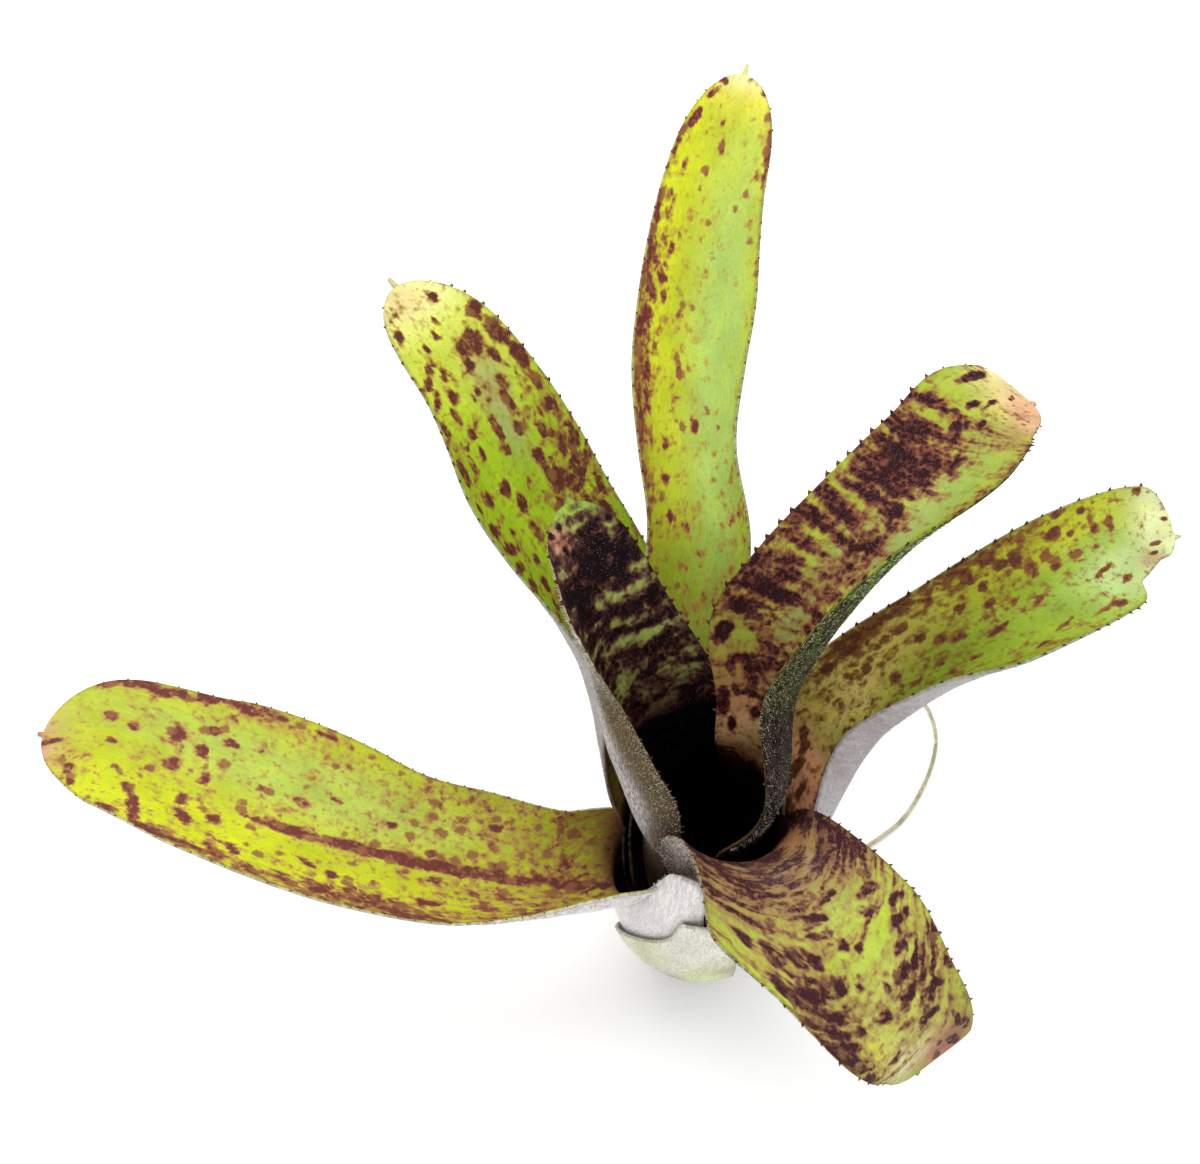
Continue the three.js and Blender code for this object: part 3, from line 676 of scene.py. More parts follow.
def noted(along, offset, margin, under, tooth):
    """Leaf coordinates, a row for each point: mm along the leaf, left of the midrib and in from
    the margin, whether it is on the under side, and whether it is a tooth (1) or a hair (2)."""
    return np.stack(np.broadcast_arrays(along, offset, margin, under, tooth), -1).reshape(-1, 5)


def margin_teeth(leaf, rng, bigness):
    """Small hooked teeth along both margins: points in mm, triangles and leaf coordinates."""
    points, places = [], []
    for side, sign in ((0, 1), (1, -1)):
        at = FIRST_TOOTH
        while at < leaf.blade_length - LAST_TOOTH:
            size = bigness * rng.uniform(*TOOTH_SIZE_RANGE)
            place = at / leaf.blade_length
            if side == 1 and place > leaf.torn:
                break
            where = place + np.array([-TOOTH_REACH, 0, TOOTH_REACH]) / leaf.blade_length
            width = leaf.half_widths(where)[:, side]
            offset = np.stack([width - TOOTH_ROOT, width, width + TOOTH_LENGTH * size], axis=1)
            spots, normals = leaf.surface(where, sign * offset)
            root, middle = spots[1, :2] - normals[1, :2] * TOOTH_DEPTH
            out = unit(spots[1, 1] - spots[1, 0])
            ahead = unit(spots[2, 1] - spots[0, 1])
            up = unit(np.cross(ahead, out)) * TOOTH_DEPTH
            wide = ahead * TOOTH_BASE * size
            out = out * TOOTH_LENGTH * size
            bend = middle + out * BEND_OUT + ahead * BEND_AHEAD * size
            points += [root - wide, root + up, root + wide, root - up]
            wide, up = wide * BEND_WIDTH, up * BEND_DEPTH
            points += [bend - wide, bend + up, bend + wide, bend - up]
            points.append(middle + out + ahead * TOOTH_HOOK * size)
            places += [(at, sign * width[1])] * TOOTH_POINTS
            at += TOOTH_SPACING * rng.uniform(*TOOTH_SPACING_RANGE)
    along, offset = np.array(places).T
    faces = repeated(TOOTH_FACES, TOOTH_POINTS, len(points))
    return np.array(points), faces, noted(along, offset, 0, 0, 1)


def margin_hairs(leaf, rng, patches):
    """Short pale hairs under the margins: points in mm, triangles and leaf coordinates."""
    points, places = [], []
    for start, end, side, band, density, length in patches:
        count = int((end - start) * band * density)
        along = rng.uniform(start, end, count)
        place = np.where(along < 0, along / leaf.neck_length, along / leaf.blade_length)
        inward = band * rng.uniform(*HAIR_INWARD_RANGE, count) ** HAIR_CROWDING
        offset = side * (leaf.half_widths(place)[:, 0 if side > 0 else 1] - inward)
        spots, normals = leaf.surface(place, np.stack([offset, offset + side * HAIR_STEP], axis=1))
        further = leaf.points(place + 2 * NUDGE, offset[:, None])
        depth = leaf.thickness(place, np.sign(offset)[:, None] * HAIR_SHARE)
        normal = normals[:, 0]
        root = spots[:, 0] - normal * (depth - HAIR_ROOT)
        out = unit(spots[:, 1] - spots[:, 0])
        ahead = unit(further[:, 0] - spots[:, 0])
        stray = rng.normal(0, HAIR_STRAY, (count, 3))
        lean = sum(part * way for part, way in zip(HAIR_LEAN, (ahead, out, normal)))
        lean = unit(lean + stray)
        across = unit(np.cross(lean, normal))
        over = np.cross(lean, across)
        reach = length * rng.uniform(*HAIR_LENGTH_RANGE, count)[:, None]
        ring = [
            root + HAIR_RADIUS * (math.cos(turn) * across + math.sin(turn) * over)
            for turn in HAIR_TURNS
        ]
        tip = root + (lean + out * HAIR_CURVE) * reach
        points += list(np.stack([*ring, tip], axis=1).reshape(-1, 3))
        places += list(np.stack([along, offset], axis=1).repeat(HAIR_POINTS, axis=0))
    along, offset = np.array(places).T
    faces = repeated(HAIR_FACES, HAIR_POINTS, len(points))
    return np.array(points), faces, noted(along, offset, CLEAR_OF_MARGIN, 1, 2)


def leaf_mesh(leaf, look, seed):
    """A leaf's points in mm, its faces and its leaf coordinates."""
    place = leaf_places(leaf)
    reach = leaf.half_widths(place)
    share = np.linspace(-1, 1, COLUMNS + 1)
    offset = share * np.where(share > 0, reach[:, :1], reach[:, 1:])
    along = np.repeat(leaf.from_neck(place)[:, None], COLUMNS + 1, axis=1)
    upper, normal = leaf.surface(place, offset)
    fade = (1 - np.abs(share) ** 3) * ease((place - WAVES_START) / WAVES_SPAN)[:, None]
    upper = upper + normal * (wave(along, offset, seed) * fade)[..., None]
    lower = upper - normal * leaf.thickness(place, share[None])[..., None]
    at = np.arange(offset.size).reshape(offset.shape)
    a, b, c, d = at[:-1, :-1], at[:-1, 1:], at[1:, 1:], at[1:, :-1]
    quads = [np.stack([a, d, c, b], -1), np.stack([b, c, d, a], -1) + at.size]
    for first, second in (
        (at[:-1, -1], at[1:, -1]), (at[1:, 0], at[:-1, 0]),
        (at[0, :-1], at[0, 1:]), (at[-1, 1:], at[-1, :-1]),
    ):
        quads.append(np.stack([first, second, second + at.size, first + at.size], -1))
    margin = np.where(offset >= 0, reach[:, :1] - offset, reach[:, 1:] + offset)
    sides = np.array([0, 1])[:, None, None]
    parts = [(
        np.concatenate([upper, lower]).reshape(-1, 3),
        np.concatenate([quad.reshape(-1, 4) for quad in quads]),
        noted(along, offset, margin, sides, 0),
    )]
    rng = np.random.default_rng(seed)
    for add, wanted in ((margin_teeth, look["teeth"]), (margin_hairs, look["hairs"])):
        if wanted:
            parts.append(add(leaf, rng, wanted))
    points, faces, coordinates = zip(*parts)
    first = np.cumsum([0, *map(len, points)])
    faces = [face for part, base in zip(faces, first) for face in (part + base).tolist()]
    return np.concatenate(points), faces, np.concatenate(coordinates)


# ------------------------------------------------------------------ colours and markings

LIME = srgb(182, 190, 44)
BRIGHT = srgb(200, 210, 40)
VIVID_GREEN = srgb(150, 182, 30)
LEAF_GREEN = srgb(140, 176, 62)
SOFT_GREEN = srgb(172, 194, 90)
GREEN = srgb(122, 152, 40)
PALE_GREEN = srgb(186, 200, 130)
GREY_GREEN = srgb(134, 148, 96)
YELLOW = srgb(214, 206, 72)
PALE = srgb(234, 226, 160)
CREAM = srgb(226, 214, 180)
PALE_UNDER = srgb(196, 200, 168)
SILVER = srgb(196, 196, 198)
PAPER = srgb(214, 212, 206)
OLIVE = srgb(134, 124, 40)
DARK_OLIVE = srgb(58, 58, 28)
TAN = srgb(168, 124, 84)
RED_BROWN = srgb(132, 74, 50)
MAROON = srgb(86, 30, 34)
DEEP_MAROON = srgb(40, 14, 16)
# Painted shade: near black and dark colours put on the leaves inside the tank and its pouches,
# where only shade falls.
PAINTED_SHADE_DARK = srgb(26, 12, 14)
PAINTED_SHADE_BLACK = srgb(4, 2, 2)
PINK = srgb(182, 118, 108)
GREY_VIOLET = srgb(128, 108, 116)

PLAIN_LOOK = dict(
    ground=LIME, washes=[], under=PAPER, under_washes=[], hems=[], under_deep=srgb(150, 138, 140),
    under_mottle=0.3, under_dark=-0.8, under_scurf=0.5, dark=[(0, -0.1)], darker=[], marks=[],
    scurf=[], dots=0.25, dotty=[], spots=0, streak=(0.3, 0.55), band=(0.42, 0.1), slant=0.25,
    bow=0, banding=0.3, contrast=2.4, grain=(0.75, 1), cells=0.6, chance=0.28, cover=1,
    soft=(-0.14, 0.42), depth=(0.12, 0.6), vein=0.3, grit=0.06, gloss=0.05, edge=0.5,
    mark=MAROON, deep=DEEP_MAROON, mark_light=RED_BROWN, tooth=srgb(74, 42, 32), teeth=0.8,
    scale=srgb(214, 204, 196), hairs=[], hair=srgb(226, 220, 206),
)

# Each leaf's look, in mm from its neck towards the tip and left (+) or right (-) of the midrib.
#   washes  (along, offset, half length, half width, colour, strength) of the upper face
#   dark    (along, level) of how dark the ground's own marks run
#   darker  (along, offset, half length, half width, level) of darker or cleaner patches
#   marks   (along, offset, half length, half width, turn in degrees) of single blotches
#   scurf   (along, offset, half length, half width, level) of white scales
#   dotty   (along, offset, half length, half width, level) of more fine dots
#   hems    (from, to, side, width, colour, strength) of the under side along a margin
#   hairs   (from, to, side, width of the band, hairs a square mm, length) by a margin
# Black and near-black washes, under washes and hems at and below a leaf's neck are painted shade
# inside the tank.
LOOKS = {}

LOOKS["leaf_1"] = dict(
    teeth=0.5,
    dark=[(-50, 0.3), (-12, 0.24), (0, 0.2), (24, 0.16), (50, 0.06), (90, -0.06), (118, -0.12)],
    dots=0.9, mark_light=srgb(172, 128, 76), mark=srgb(132, 80, 60), deep=srgb(108, 56, 50),
    cells=0.3, contrast=2.2, spots=0.62, hairs=[(-30, 30, 1, 3, 6, 0.7)], under=srgb(238, 234, 234),
    washes=[
        (78, 11, 42, 7, BRIGHT, 0.9), (70, -8, 40, 7, SOFT_GREEN, 0.75),
        # Below the neck the black wash is painted shade inside the tank; the two dark red-brown
        # washes at the neck darken the leaf towards it.
        (14, -2, 16, 18, OLIVE, 0.15), (-5, 0, 5, 60, srgb(70, 36, 34), 0.9),
        (-18, 0, 12, 60, PAINTED_SHADE_BLACK, 1), (123, 4, 6, 9, srgb(196, 140, 134), 0.8),
        (0.5, 0, 3, 60, srgb(110, 56, 50), 0.9),
    ],
    darker=[
        (52, 15.5, 18, 4.5, 0.5), (20, 9, 14, 7, 0.2), (88, -18, 14, 3, 0.4), (84, 16, 12, 3, 0.35),
        (114, 9, 5, 8, 0.25), (62, 6, 22, 3.4, -0.22), (60, -8, 24, 4, -0.1), (104, 9, 6, 5, -0.2),
        (112, -2, 5, 6, -0.15), (93, -5, 9, 7, 0.1),
    ],
    marks=[
        (4, 3.4, 8, 1, -14), (12, 1.2, 8, 1.1, -10), (22, 0, 11, 1.2, -2), (34, -0.4, 12, 1.5),
        (46, 0.2, 12, 1.4, 3), (57, 1.1, 11, 1.3, 5), (68, 2.1, 10, 1.3, 4), (7, 2.4, 8, 1, -13),
        (42, 15, 1.3, 3, -20), (46.5, 14, 1.5, 3.6, -25), (51, 13.5, 1.5, 4, -25),
        (56, 13, 1.2, 3, -30), (60, 14.5, 1.4, 3, -35), (66, 15, 3, 1.3, -45),
        (73, 15.5, 3, 1.2, -40), (80, 14.5, 3.4, 1.3, -50), (85, 16, 4, 1.1), (92, 16.4, 4, 1.1),
        (96.5, 12.5, 4.6, 1.3, -62), (99.5, 8.5, 1.7, 1.1, -40), (101, 15.6, 2.6, 1),
        (88, 9, 2.8, 1.1, -50), (90, 5, 1.1, 1.9), (83, 6.6, 1.4, 1), (77, 12, 2, 0.9, -40),
        (64, 8, 2, 0.9, -30), (59, 9, 1.4, 1), (88, -1, 1.5, 1.3), (95, -1, 2, 1.5),
        (98, 2, 1.1, 0.9), (91, -6.5, 1.3, 1.6), (97, -7, 1.7, 1.4), (86, -10, 2, 1),
        (91, -11, 1.6, 1), (104.5, -5, 1.3, 1.2), (109, -5.5, 1.5, 1.2), (107, -0.5, 0.9, 0.7),
        (104, 5, 0.9, 0.7), (111, -12, 2, 1, 25), (103, -13.2, 1.8, 0.9), (88, -17.3, 6, 1, -4),
        (80, -18.4, 3, 0.8), (95, -16.4, 2.4, 0.9, 8), (69, -4, 2, 1.1), (76.5, -3.8, 1.6, 0.9),
        (62, -7, 1.8, 0.8), (50, -6, 1.2, 0.9), (78, 2.8, 1.2, 0.8), (112, 11, 1.2, 1),
        (113.5, 8, 0.9, 1.6), (108, -13.6, 4.6, 1.6, 10), (124, 4, 0.9, 3.4, 15),
        (121, 9, 1.4, 2.2, 40), (118, 1.5, 3, 0.7, 20), (100, -14.6, 3, 1, 6), (39, 2.6, 1.6, 0.9),
        (41, -2.6, 1.2, 0.8), (28, -10, 1.2, 0.8), (40, 9, 2.4, 0.9), (47, 11, 1.4, 0.9),
        (70, -18.6, 3, 0.6),
    ],
)

LOOKS["leaf_2"] = dict(
    teeth=0.9, ground=srgb(152, 184, 36), under=SILVER,
    # At and below the neck the black wash, the dark under wash and the dark hem are painted shade
    # inside the tank.
    under_washes=[(20, 0, 40, 30, GREY_VIOLET, 0.25), (-22, 16, 27, 11, PAINTED_SHADE_DARK, 1)], cells=0.35,
    mark=srgb(116, 68, 46), deep=srgb(84, 42, 34), mark_light=srgb(150, 118, 50), spots=0.4,
    hems=[(-60, 14, 1, 9, PAINTED_SHADE_DARK, 1)], hairs=[(12, 46, 1, 6, 4, 0.7)], dots=0.5, under_dark=-0.36,
    washes=[
        (50, 12, 14, 6, GREEN, 0.6), (66, 7, 20, 8, VIVID_GREEN, 0.8),
        (98, 0, 13, 20, srgb(198, 206, 70), 0.75), (111, 0, 8, 20, srgb(228, 226, 150), 0.9),
        (109, 1, 4, 4, PINK, 0.35), (80, -1, 8, 2.6, GREY_VIOLET, 0.45),
        (89, -3, 6, 3, GREY_VIOLET, 0.35), (-10, 0, 24, 40, PAINTED_SHADE_BLACK, 1),
        (18, 0, 13, 40, DARK_OLIVE, 0.7),
    ],
    dark=[
        (-50, 0.5), (0, 0.4), (38, 0.16), (48, 0.06), (60, 0.04), (90, 0), (102, -0.16),
        (112, -0.2),
    ],
    darker=[
        (62, -9, 12, 5, 0.3), (72, -11, 12, 3, 0.3), (108, 2, 5, 4, 0.25), (70, 2, 6, 6, -0.12),
    ],
    marks=[
        (43, 8, 1.6, 0.8), (47, 7, 2, 1), (52, 6, 1.6, 1), (49, 13, 1.4, 3), (53, 13, 1.3, 3),
        (56.5, 11, 1.4, 2.6, -20), (61, 13, 1.5, 1.5), (65, 13.8, 1.6, 0.9), (66, 10, 1.8, 1.4),
        (59, 8, 1, 0.8), (62.5, 2.8, 2.4, 1.1), (56, 2.5, 2.6, 0.9), (66.5, 5, 1.9, 1.4),
        (72, 13.4, 3, 1.1), (73, 10, 2.4, 0.9), (74.5, 6.6, 1.5, 0.8), (73.5, 1.8, 1.6, 1.3),
        (79, 6.8, 1.4, 0.9), (82, 12, 2, 1), (84, 8, 2, 0.9), (88, 10, 2.7, 0.9, -40),
        (87, 6, 2, 1.4, -30), (92, 9, 2.1, 0.9, -50), (95, 6, 2.1, 1.1, -50), (78, 1.5, 3.6, 0.9),
        (86, 0.8, 1.1, 0.8), (92, 4.5, 1.6, 0.8, -30), (81, -3, 2.8, 1.2), (85, -4.5, 1.8, 1.3),
        (76, -2.5, 1.9, 0.9), (94, -3.4, 2.8, 3.4), (91, -1, 1.5, 1.1), (93, -9, 3.2, 1.9),
        (87, -10, 2.8, 1.5), (90, -6, 2, 1.2), (81.5, -10, 1.5, 0.9), (77, -10.5, 1.5, 0.9),
        (99, -8.5, 1.7, 1.6), (74, -6.5, 1.9, 0.8), (71, -12, 3.6, 0.9), (66, -4.5, 3.6, 0.9, 10),
        (64, -7, 3, 2, 20), (58, -4, 2.4, 1.6), (70, -4, 1.6, 1.2), (61, -5, 2.8, 1.4),
        (60, -9, 2.4, 1), (69, -9, 1.9, 0.8), (56, -7.5, 2, 1.4), (54, -12, 2.8, 1),
        (60, -13, 2.8, 0.8), (99, 1, 1.2, 0.8), (98, 4, 1, 0.7), (103, 7, 2.2, 0.9, -30),
        (102, -1, 1.2, 0.7), (106.5, -4, 1.6, 0.7),
    ],
)

LOOKS["leaf_3"] = dict(
    teeth=1, ground=srgb(152, 162, 86),
    dark=[(-50, 1.6), (0, 1.5), (10, 0.95), (20, 0.6), (46, 0.5), (58, 0.6), (62, 0.3), (65, -0.1)],
    marks=[(60, 5.5, 0.8, 0.6), (57, 4, 1, 0.6), (61, 3.6, 0.9, 0.5)], banding=0.6,
    streak=(0.36, 0.4), band=(0.42, 0.19), vein=0.45, mark=srgb(76, 38, 38), deep=srgb(20, 8, 10),
    mark_light=srgb(84, 54, 42), scurf=[(54, -1, 5, 5, 0.1), (36, -6, 16, 6, 0.06)],
    under=srgb(198, 192, 192), under_scurf=0.12, dots=0,
    # The black washes on both faces below the neck, and the one just above it in the mouth, are
    # painted shade inside the tank.
    under_washes=[(46, 6, 14, 20, srgb(226, 226, 220), 0.8), (-14, 8, 15, 60, PAINTED_SHADE_BLACK, 1)],
    under_deep=srgb(70, 54, 50), under_mottle=0.6, cells=0.35, chance=0.16,
    hems=[(-8, 44, 1, 9, srgb(104, 90, 58), 1), (-12, 18, 1, 9, srgb(58, 40, 38), 1)],
    dotty=[(60, 5, 4, 3, 1)], grit=0.05, hairs=[(4, 60, 1, 6, 6, 0.9)],
    washes=[
        (-14, 0, 26, 60, PAINTED_SHADE_BLACK, 1), (8, 0, 10, 40, PAINTED_SHADE_BLACK, 1), (59, 5, 4.5, 2.8, PINK, 1),
        (53, 7, 4, 1.6, PALE_GREEN, 0.9), (62, -3, 3, 4.6, srgb(124, 152, 66), 0.95),
        (64, 3, 2.6, 4, LEAF_GREEN, 0.8),
    ],
    darker=[
        (52, -1, 5.5, 4.5, 0.5), (35.5, -5, 1.2, 5, -0.6), (39.6, -4, 1, 4, -0.4),
        (45.6, -3, 1.4, 5, -0.7), (49, -6, 1, 3, -0.4), (28, 2, 3, 2.4, -0.4), (24, -9, 3, 3, -0.3),
        (17, -3, 2.4, 5, -0.35), (22, 1, 1.2, 6, -0.2), (31.5, -4, 1.4, 7, 0.3),
        (37.4, -4, 1, 6, 0.3), (42, -3, 1.2, 6, 0.4), (58, 5, 4, 3, -0.6), (46, 6, 4, 2, 0.4),
        (57, -5, 2, 2.4, -0.3), (13, -6, 4, 3, -0.3),
    ],
)

LOOKS["leaf_4"] = dict(
    teeth=0.6, dark=[(-50, 0.6), (0, 0.3), (30, 0.06), (60, -0.05), (128, -0.1), (138, -0.2)],
    mark_light=srgb(166, 120, 58), dots=0.3, under=PALE_UNDER,
    # The dark under wash and hem and the black wash below the neck are painted shade inside the
    # tank.
    under_washes=[(-21, 24, 30, 17, PAINTED_SHADE_DARK, 1)], mark=srgb(128, 76, 54), deep=srgb(104, 46, 48),
    cells=0.4, spots=0.55, hems=[(-60, 14, 1, 9, PAINTED_SHADE_DARK, 1)], under_dark=-0.4,
    washes=[
        # The pale green strip right of the midrib is the leaf's greener side with a painted sheen;
        # the yellow and pale washes at the tip are a painted glow of light through it.
        (75, -5, 50, 6, srgb(160, 190, 100), 0.85), (36, 0, 14, 20, GREEN, 0.55),
        (105, 9, 32, 4, BRIGHT, 0.9), (60, 12, 22, 2.4, OLIVE, 0.55), (138, 0, 6, 20, YELLOW, 0.8),
        (140, 0, 3, 20, PALE, 0.8), (-10, 0, 26, 40, PAINTED_SHADE_BLACK, 1),
    ],
    darker=[
        (62, 12, 26, 2.4, 0.5), (100, 11, 30, 2.8, 0.4), (130, -8, 10, 2, 0.45),
        (50, -8, 30, 3, 0.15), (90, -6, 40, 5, -0.25), (120, 2, 14, 6, -0.1),
    ],
    marks=[
        (98, 11.4, 1.3, 2.3), (102, 11, 2, 0.9), (103, 6.2, 1.5, 0.7), (97, 7.6, 1.2, 1.4),
        (93.5, 7, 1.4, 0.7), (87, 12, 2.5, 0.9), (80, 9.5, 1.6, 0.9), (75, 10, 2, 0.7),
        (84, 8.4, 1.5, 0.6), (111, 10.4, 2.4, 0.6), (119, 6.6, 1.5, 0.7), (120, 9.4, 1, 0.6),
        (124, 8.8, 2.8, 0.7, -12), (128, 7.2, 3, 0.8, -20), (134, 5.4, 1.5, 0.6, -30),
        (137.6, 3.4, 1, 0.9), (137, -4.8, 0.9, 0.7), (126, -8.7, 5, 0.7, 8), (119, -9.5, 2, 0.4),
        (125, 0.5, 1.8, 0.6), (119, 2, 1, 0.5), (129, 1.5, 0.8, 0.4), (69, 0, 1.4, 0.9),
        (80, 3, 1.8, 0.5), (66, 6, 1.4, 0.9), (59, 6, 1.2, 0.7), (70, 11.6, 4, 0.7),
        (78, 12.6, 3, 0.5), (52, 5, 1.4, 0.6),
    ],
)

LOOKS["leaf_5"] = dict(
    teeth=1.15, ground=srgb(158, 174, 58), banding=0.5, streak=(0.5, 0.24), band=(0.36, 0.09),
    under=srgb(50, 36, 26), under_scurf=0.08, scurf=[(60, 4, 34, 8, 0.05), (55, -6, 30, 4, 0.12)],
    dots=0.2, under_deep=srgb(12, 6, 4), dotty=[(98, -5, 7, 8, 1), (90, -4, 6, 6, 0.5)], spots=0.1,
    under_mottle=0.9, edge=0.3, mark=srgb(110, 56, 52), deep=srgb(44, 18, 20),
    mark_light=srgb(138, 90, 54), cells=0.4, chance=0.2, contrast=2.6,
    hairs=[(0, 62, -1, 9, 3.5, 0.9)], under_dark=-0.5,
    washes=[
        # The black washes below the neck, and the one over the right side at the neck, are painted
        # shade inside the tank and its mouth.
        (-12, 0, 14, 60, PAINTED_SHADE_BLACK, 1), (-34, 0, 18, 60, PAINTED_SHADE_BLACK, 1),
        (9, 5, 10, 6, srgb(226, 172, 124), 1), (20, 9, 4, 3, LIME, 0.6), (3, -14, 12, 12, PAINTED_SHADE_BLACK, 1),
        (18, 7, 7, 7, srgb(160, 104, 76), 0.6), (26, 8, 5, 6, GREEN, 0.5),
        (64, -6, 24, 4, GREY_GREEN, 0.6), (76, -7, 9, 3.5, LEAF_GREEN, 0.6),
        (90, -8, 10, 3, TAN, 0.6), (100, 2, 6, 20, PALE, 0.85),
        (99, -4, 6, 8, srgb(206, 142, 118), 0.75), (36, 1, 24, 2.4, GREY_GREEN, 0.6),
    ],
    dark=[
        (-50, 1.4), (-6, 1), (2, 0.12), (18, 0.28), (28, 0.46), (54, 0.5), (64, 0.42), (82, 0.38),
        (90, 0.08), (97, -0.1),
    ],
    darker=[
        (66, -8, 30, 4.5, -0.6), (26, 9, 2, 6, -0.5), (33, 5, 1, 7, -0.4), (38.8, 6, 0.9, 5, -0.4),
        (44, 8, 0.8, 5, -0.35), (48, 5, 0.7, 5, -0.3), (52.2, 6, 0.7, 5, -0.3), (57, 7, 1, 5, -0.4),
        (66, 9, 0.9, 3, -0.35), (80.8, 7, 1, 6, -0.6), (88.5, 6, 1.8, 4, -0.6), (94, 3, 4, 3, -0.3),
        (9, 4, 7, 3, -0.2), (92, -6, 8, 4, 0.05), (98, -5, 3.5, 6, 0.22), (72, 3, 12, 6, 0.12),
        (13, 3.5, 8, 3, 0.4), (38, 1, 12, 2, -0.2),
    ],
    marks=[
        (19, 8, 2.6, 1.2, 25), (22, 6, 1.6, 3), (17, 4, 5, 2.2, 20), (11, 8, 4.5, 1.5, 12),
        (12, 1, 4, 1.4, -12), (25, 11.5, 2.6, 1.6), (6, 5, 2.6, 0.9, 10), (14, 6.2, 2.2, 0.8, 30),
        (30, 10, 1.3, 4.4, 5), (36, 8, 1.6, 6.2, 5), (41.5, 8.4, 1.6, 5.4, 5), (46, 7, 1.3, 6.2, 4),
        (50, 7, 1.3, 6.2, 4), (54, 7, 1.4, 6.2, 4), (58.5, 9, 1.1, 3.4), (62, 7, 2.2, 5.6),
        (65.6, 5.4, 1.7, 5), (69.6, 7, 1.9, 5.4), (75, 7, 2.3, 5), (78.6, 6, 1.6, 5),
        (84, 7, 1.7, 3.5), (93, 8.4, 3.8, 1.1, 12), (88, 2, 2.2, 0.9), (70, 0, 4, 1.3, 8),
        (60, -1, 3, 0.9), (80, 0.8, 3.4, 1.4, 10), (86, -2, 2, 0.7, 10), (52, -2.6, 3, 0.7),
        (74, -2.6, 3, 0.7, 12), (92, 1, 2.4, 0.6, 20), (98, 2, 1.4, 0.6, 40),
    ],
    under_washes=[
        (4, 0, 12, 40, srgb(84, 72, 74), 0.6), (54, 0, 8, 40, srgb(104, 136, 40), 0.9),
        (26, -8, 4, 40, srgb(96, 106, 44), 0.4), (36, -14, 6, 3, srgb(96, 112, 44), 0.5),
        # The black under wash below the neck is painted shade inside the tank.
        (-16, -8, 12, 60, PAINTED_SHADE_BLACK, 1),
    ],
)

LOOKS["leaf_6"] = dict(
    teeth=1.05, ground=srgb(148, 172, 50), under=SILVER, under_scurf=0.6,
    under_washes=[(32, -14, 12, 20, GREY_VIOLET, 0.55)], dots=0.6, mark_light=srgb(140, 92, 50),
    cells=0.4, mark=srgb(136, 92, 52), deep=srgb(98, 56, 42), soft=(-0.2, 0.36), spots=0.42,
    hairs=[(2, 60, -1, 12, 2.5, 0.6)], under_dark=-0.5,
    washes=[
        (72, 8, 34, 6, LIME, 1), (34, 7, 18, 7, srgb(214, 196, 96), 1),
        # The pale wash at the tip, 105 mm on, is a painted glow of light through it.
        (88, -4, 20, 7, LEAF_GREEN, 0.7), (105, 2, 7, 20, srgb(224, 228, 172), 0.9),
        # The black washes below the neck and the dark one at it are painted shade inside the tank.
        (92, -5, 12, 6, srgb(186, 206, 140), 0.75), (-16, 0, 14, 60, PAINTED_SHADE_BLACK, 1),
        (-38, 0, 18, 60, PAINTED_SHADE_BLACK, 1), (-1, 2, 5, 20, PAINTED_SHADE_DARK, 0.9),
        (8, 2, 10, 14, srgb(255, 184, 142), 1), (28, 3, 9, 6, srgb(238, 218, 120), 1),
        (100, -4, 4, 1.6, srgb(176, 140, 116), 0.7),
    ],
    dark=[
        (-50, 1.2), (-4, 0.9), (4, 0.08), (18, -0.06), (32, 0), (50, 0), (64, -0.02), (90, -0.1),
        (108, -0.2),
    ],
    darker=[
        (38, 10, 14, 2.4, 0.5), (62, 10.5, 14, 2, 0.35), (70, 8, 14, 4, 0.06),
        (78, -7, 26, 5, -0.12), (98, 2, 8, 8, -0.12), (30, 4, 6, 3, 0.04),
    ],
    marks=[
        (5, 7, 2.6, 1), (12, 8, 3.2, 0.9, 8), (9, 2, 3, 1.2), (16, 5, 1.6, 1.2), (4, 2, 3, 1.4),
        (8, 9.6, 4, 1), (13, 3, 2.6, 0.9, 10), (2, 6, 2, 2.4), (6, -2, 2.4, 1), (30, 9.5, 1.5, 1.4),
        (36, 9, 2, 1.2), (42, 9.8, 2.8, 0.9), (60, 8.6, 1.5, 2, 10), (65, 10, 2.4, 1.4),
        (67, 7.6, 1.7, 1.3), (62, 5.6, 1.2, 1), (70, 7, 1.4, 2.4, 15), (72, 3.8, 1.5, 1.8),
        (76, 4.5, 1.4, 1), (79, 7.6, 1.9, 1.4), (77, 1.8, 1.6, 0.7), (81, 11, 2, 0.8),
        (82.6, 6, 1, 0.8), (88, 6.5, 0.9, 2.6, 5), (86, 9.4, 1, 0.9), (82, 2, 1.5, 0.7),
        (61, 2, 1.5, 0.7), (50, 0.6, 1, 0.9), (48, -3.4, 1.5, 0.9), (54, -6.4, 1.5, 0.7),
        (60, -3, 2.6, 0.6, 12), (55.6, 4, 1.1, 0.8), (53, -1, 2, 0.7), (99, 10, 1.2, 0.9),
        (102.4, -0.6, 1.8, 0.5, 5), (106, 4, 1.2, 0.5), (70, -2, 2, 0.5, 10), (66, 0.4, 1.6, 0.5),
        (42, -4.4, 1, 0.7), (47, 2.6, 1.3, 0.8), (35, 4, 1, 0.9), (39, -0.6, 1.4, 1.1),
        (45, 6, 1.2, 0.9), (51, 8, 1, 1.2), (92, 5, 1, 1.6), (70, -9, 3, 0.5, 12),
        (80, -10, 4, 0.5, 6), (64, -11, 2, 0.4, 8), (86, -3, 3, 0.4, 12), (84, -10.4, 1.6, 0.8),
        (90, -6.4, 2.4, 0.5, 15), (101, -2.6, 1.2, 0.4, 10),
    ],
)

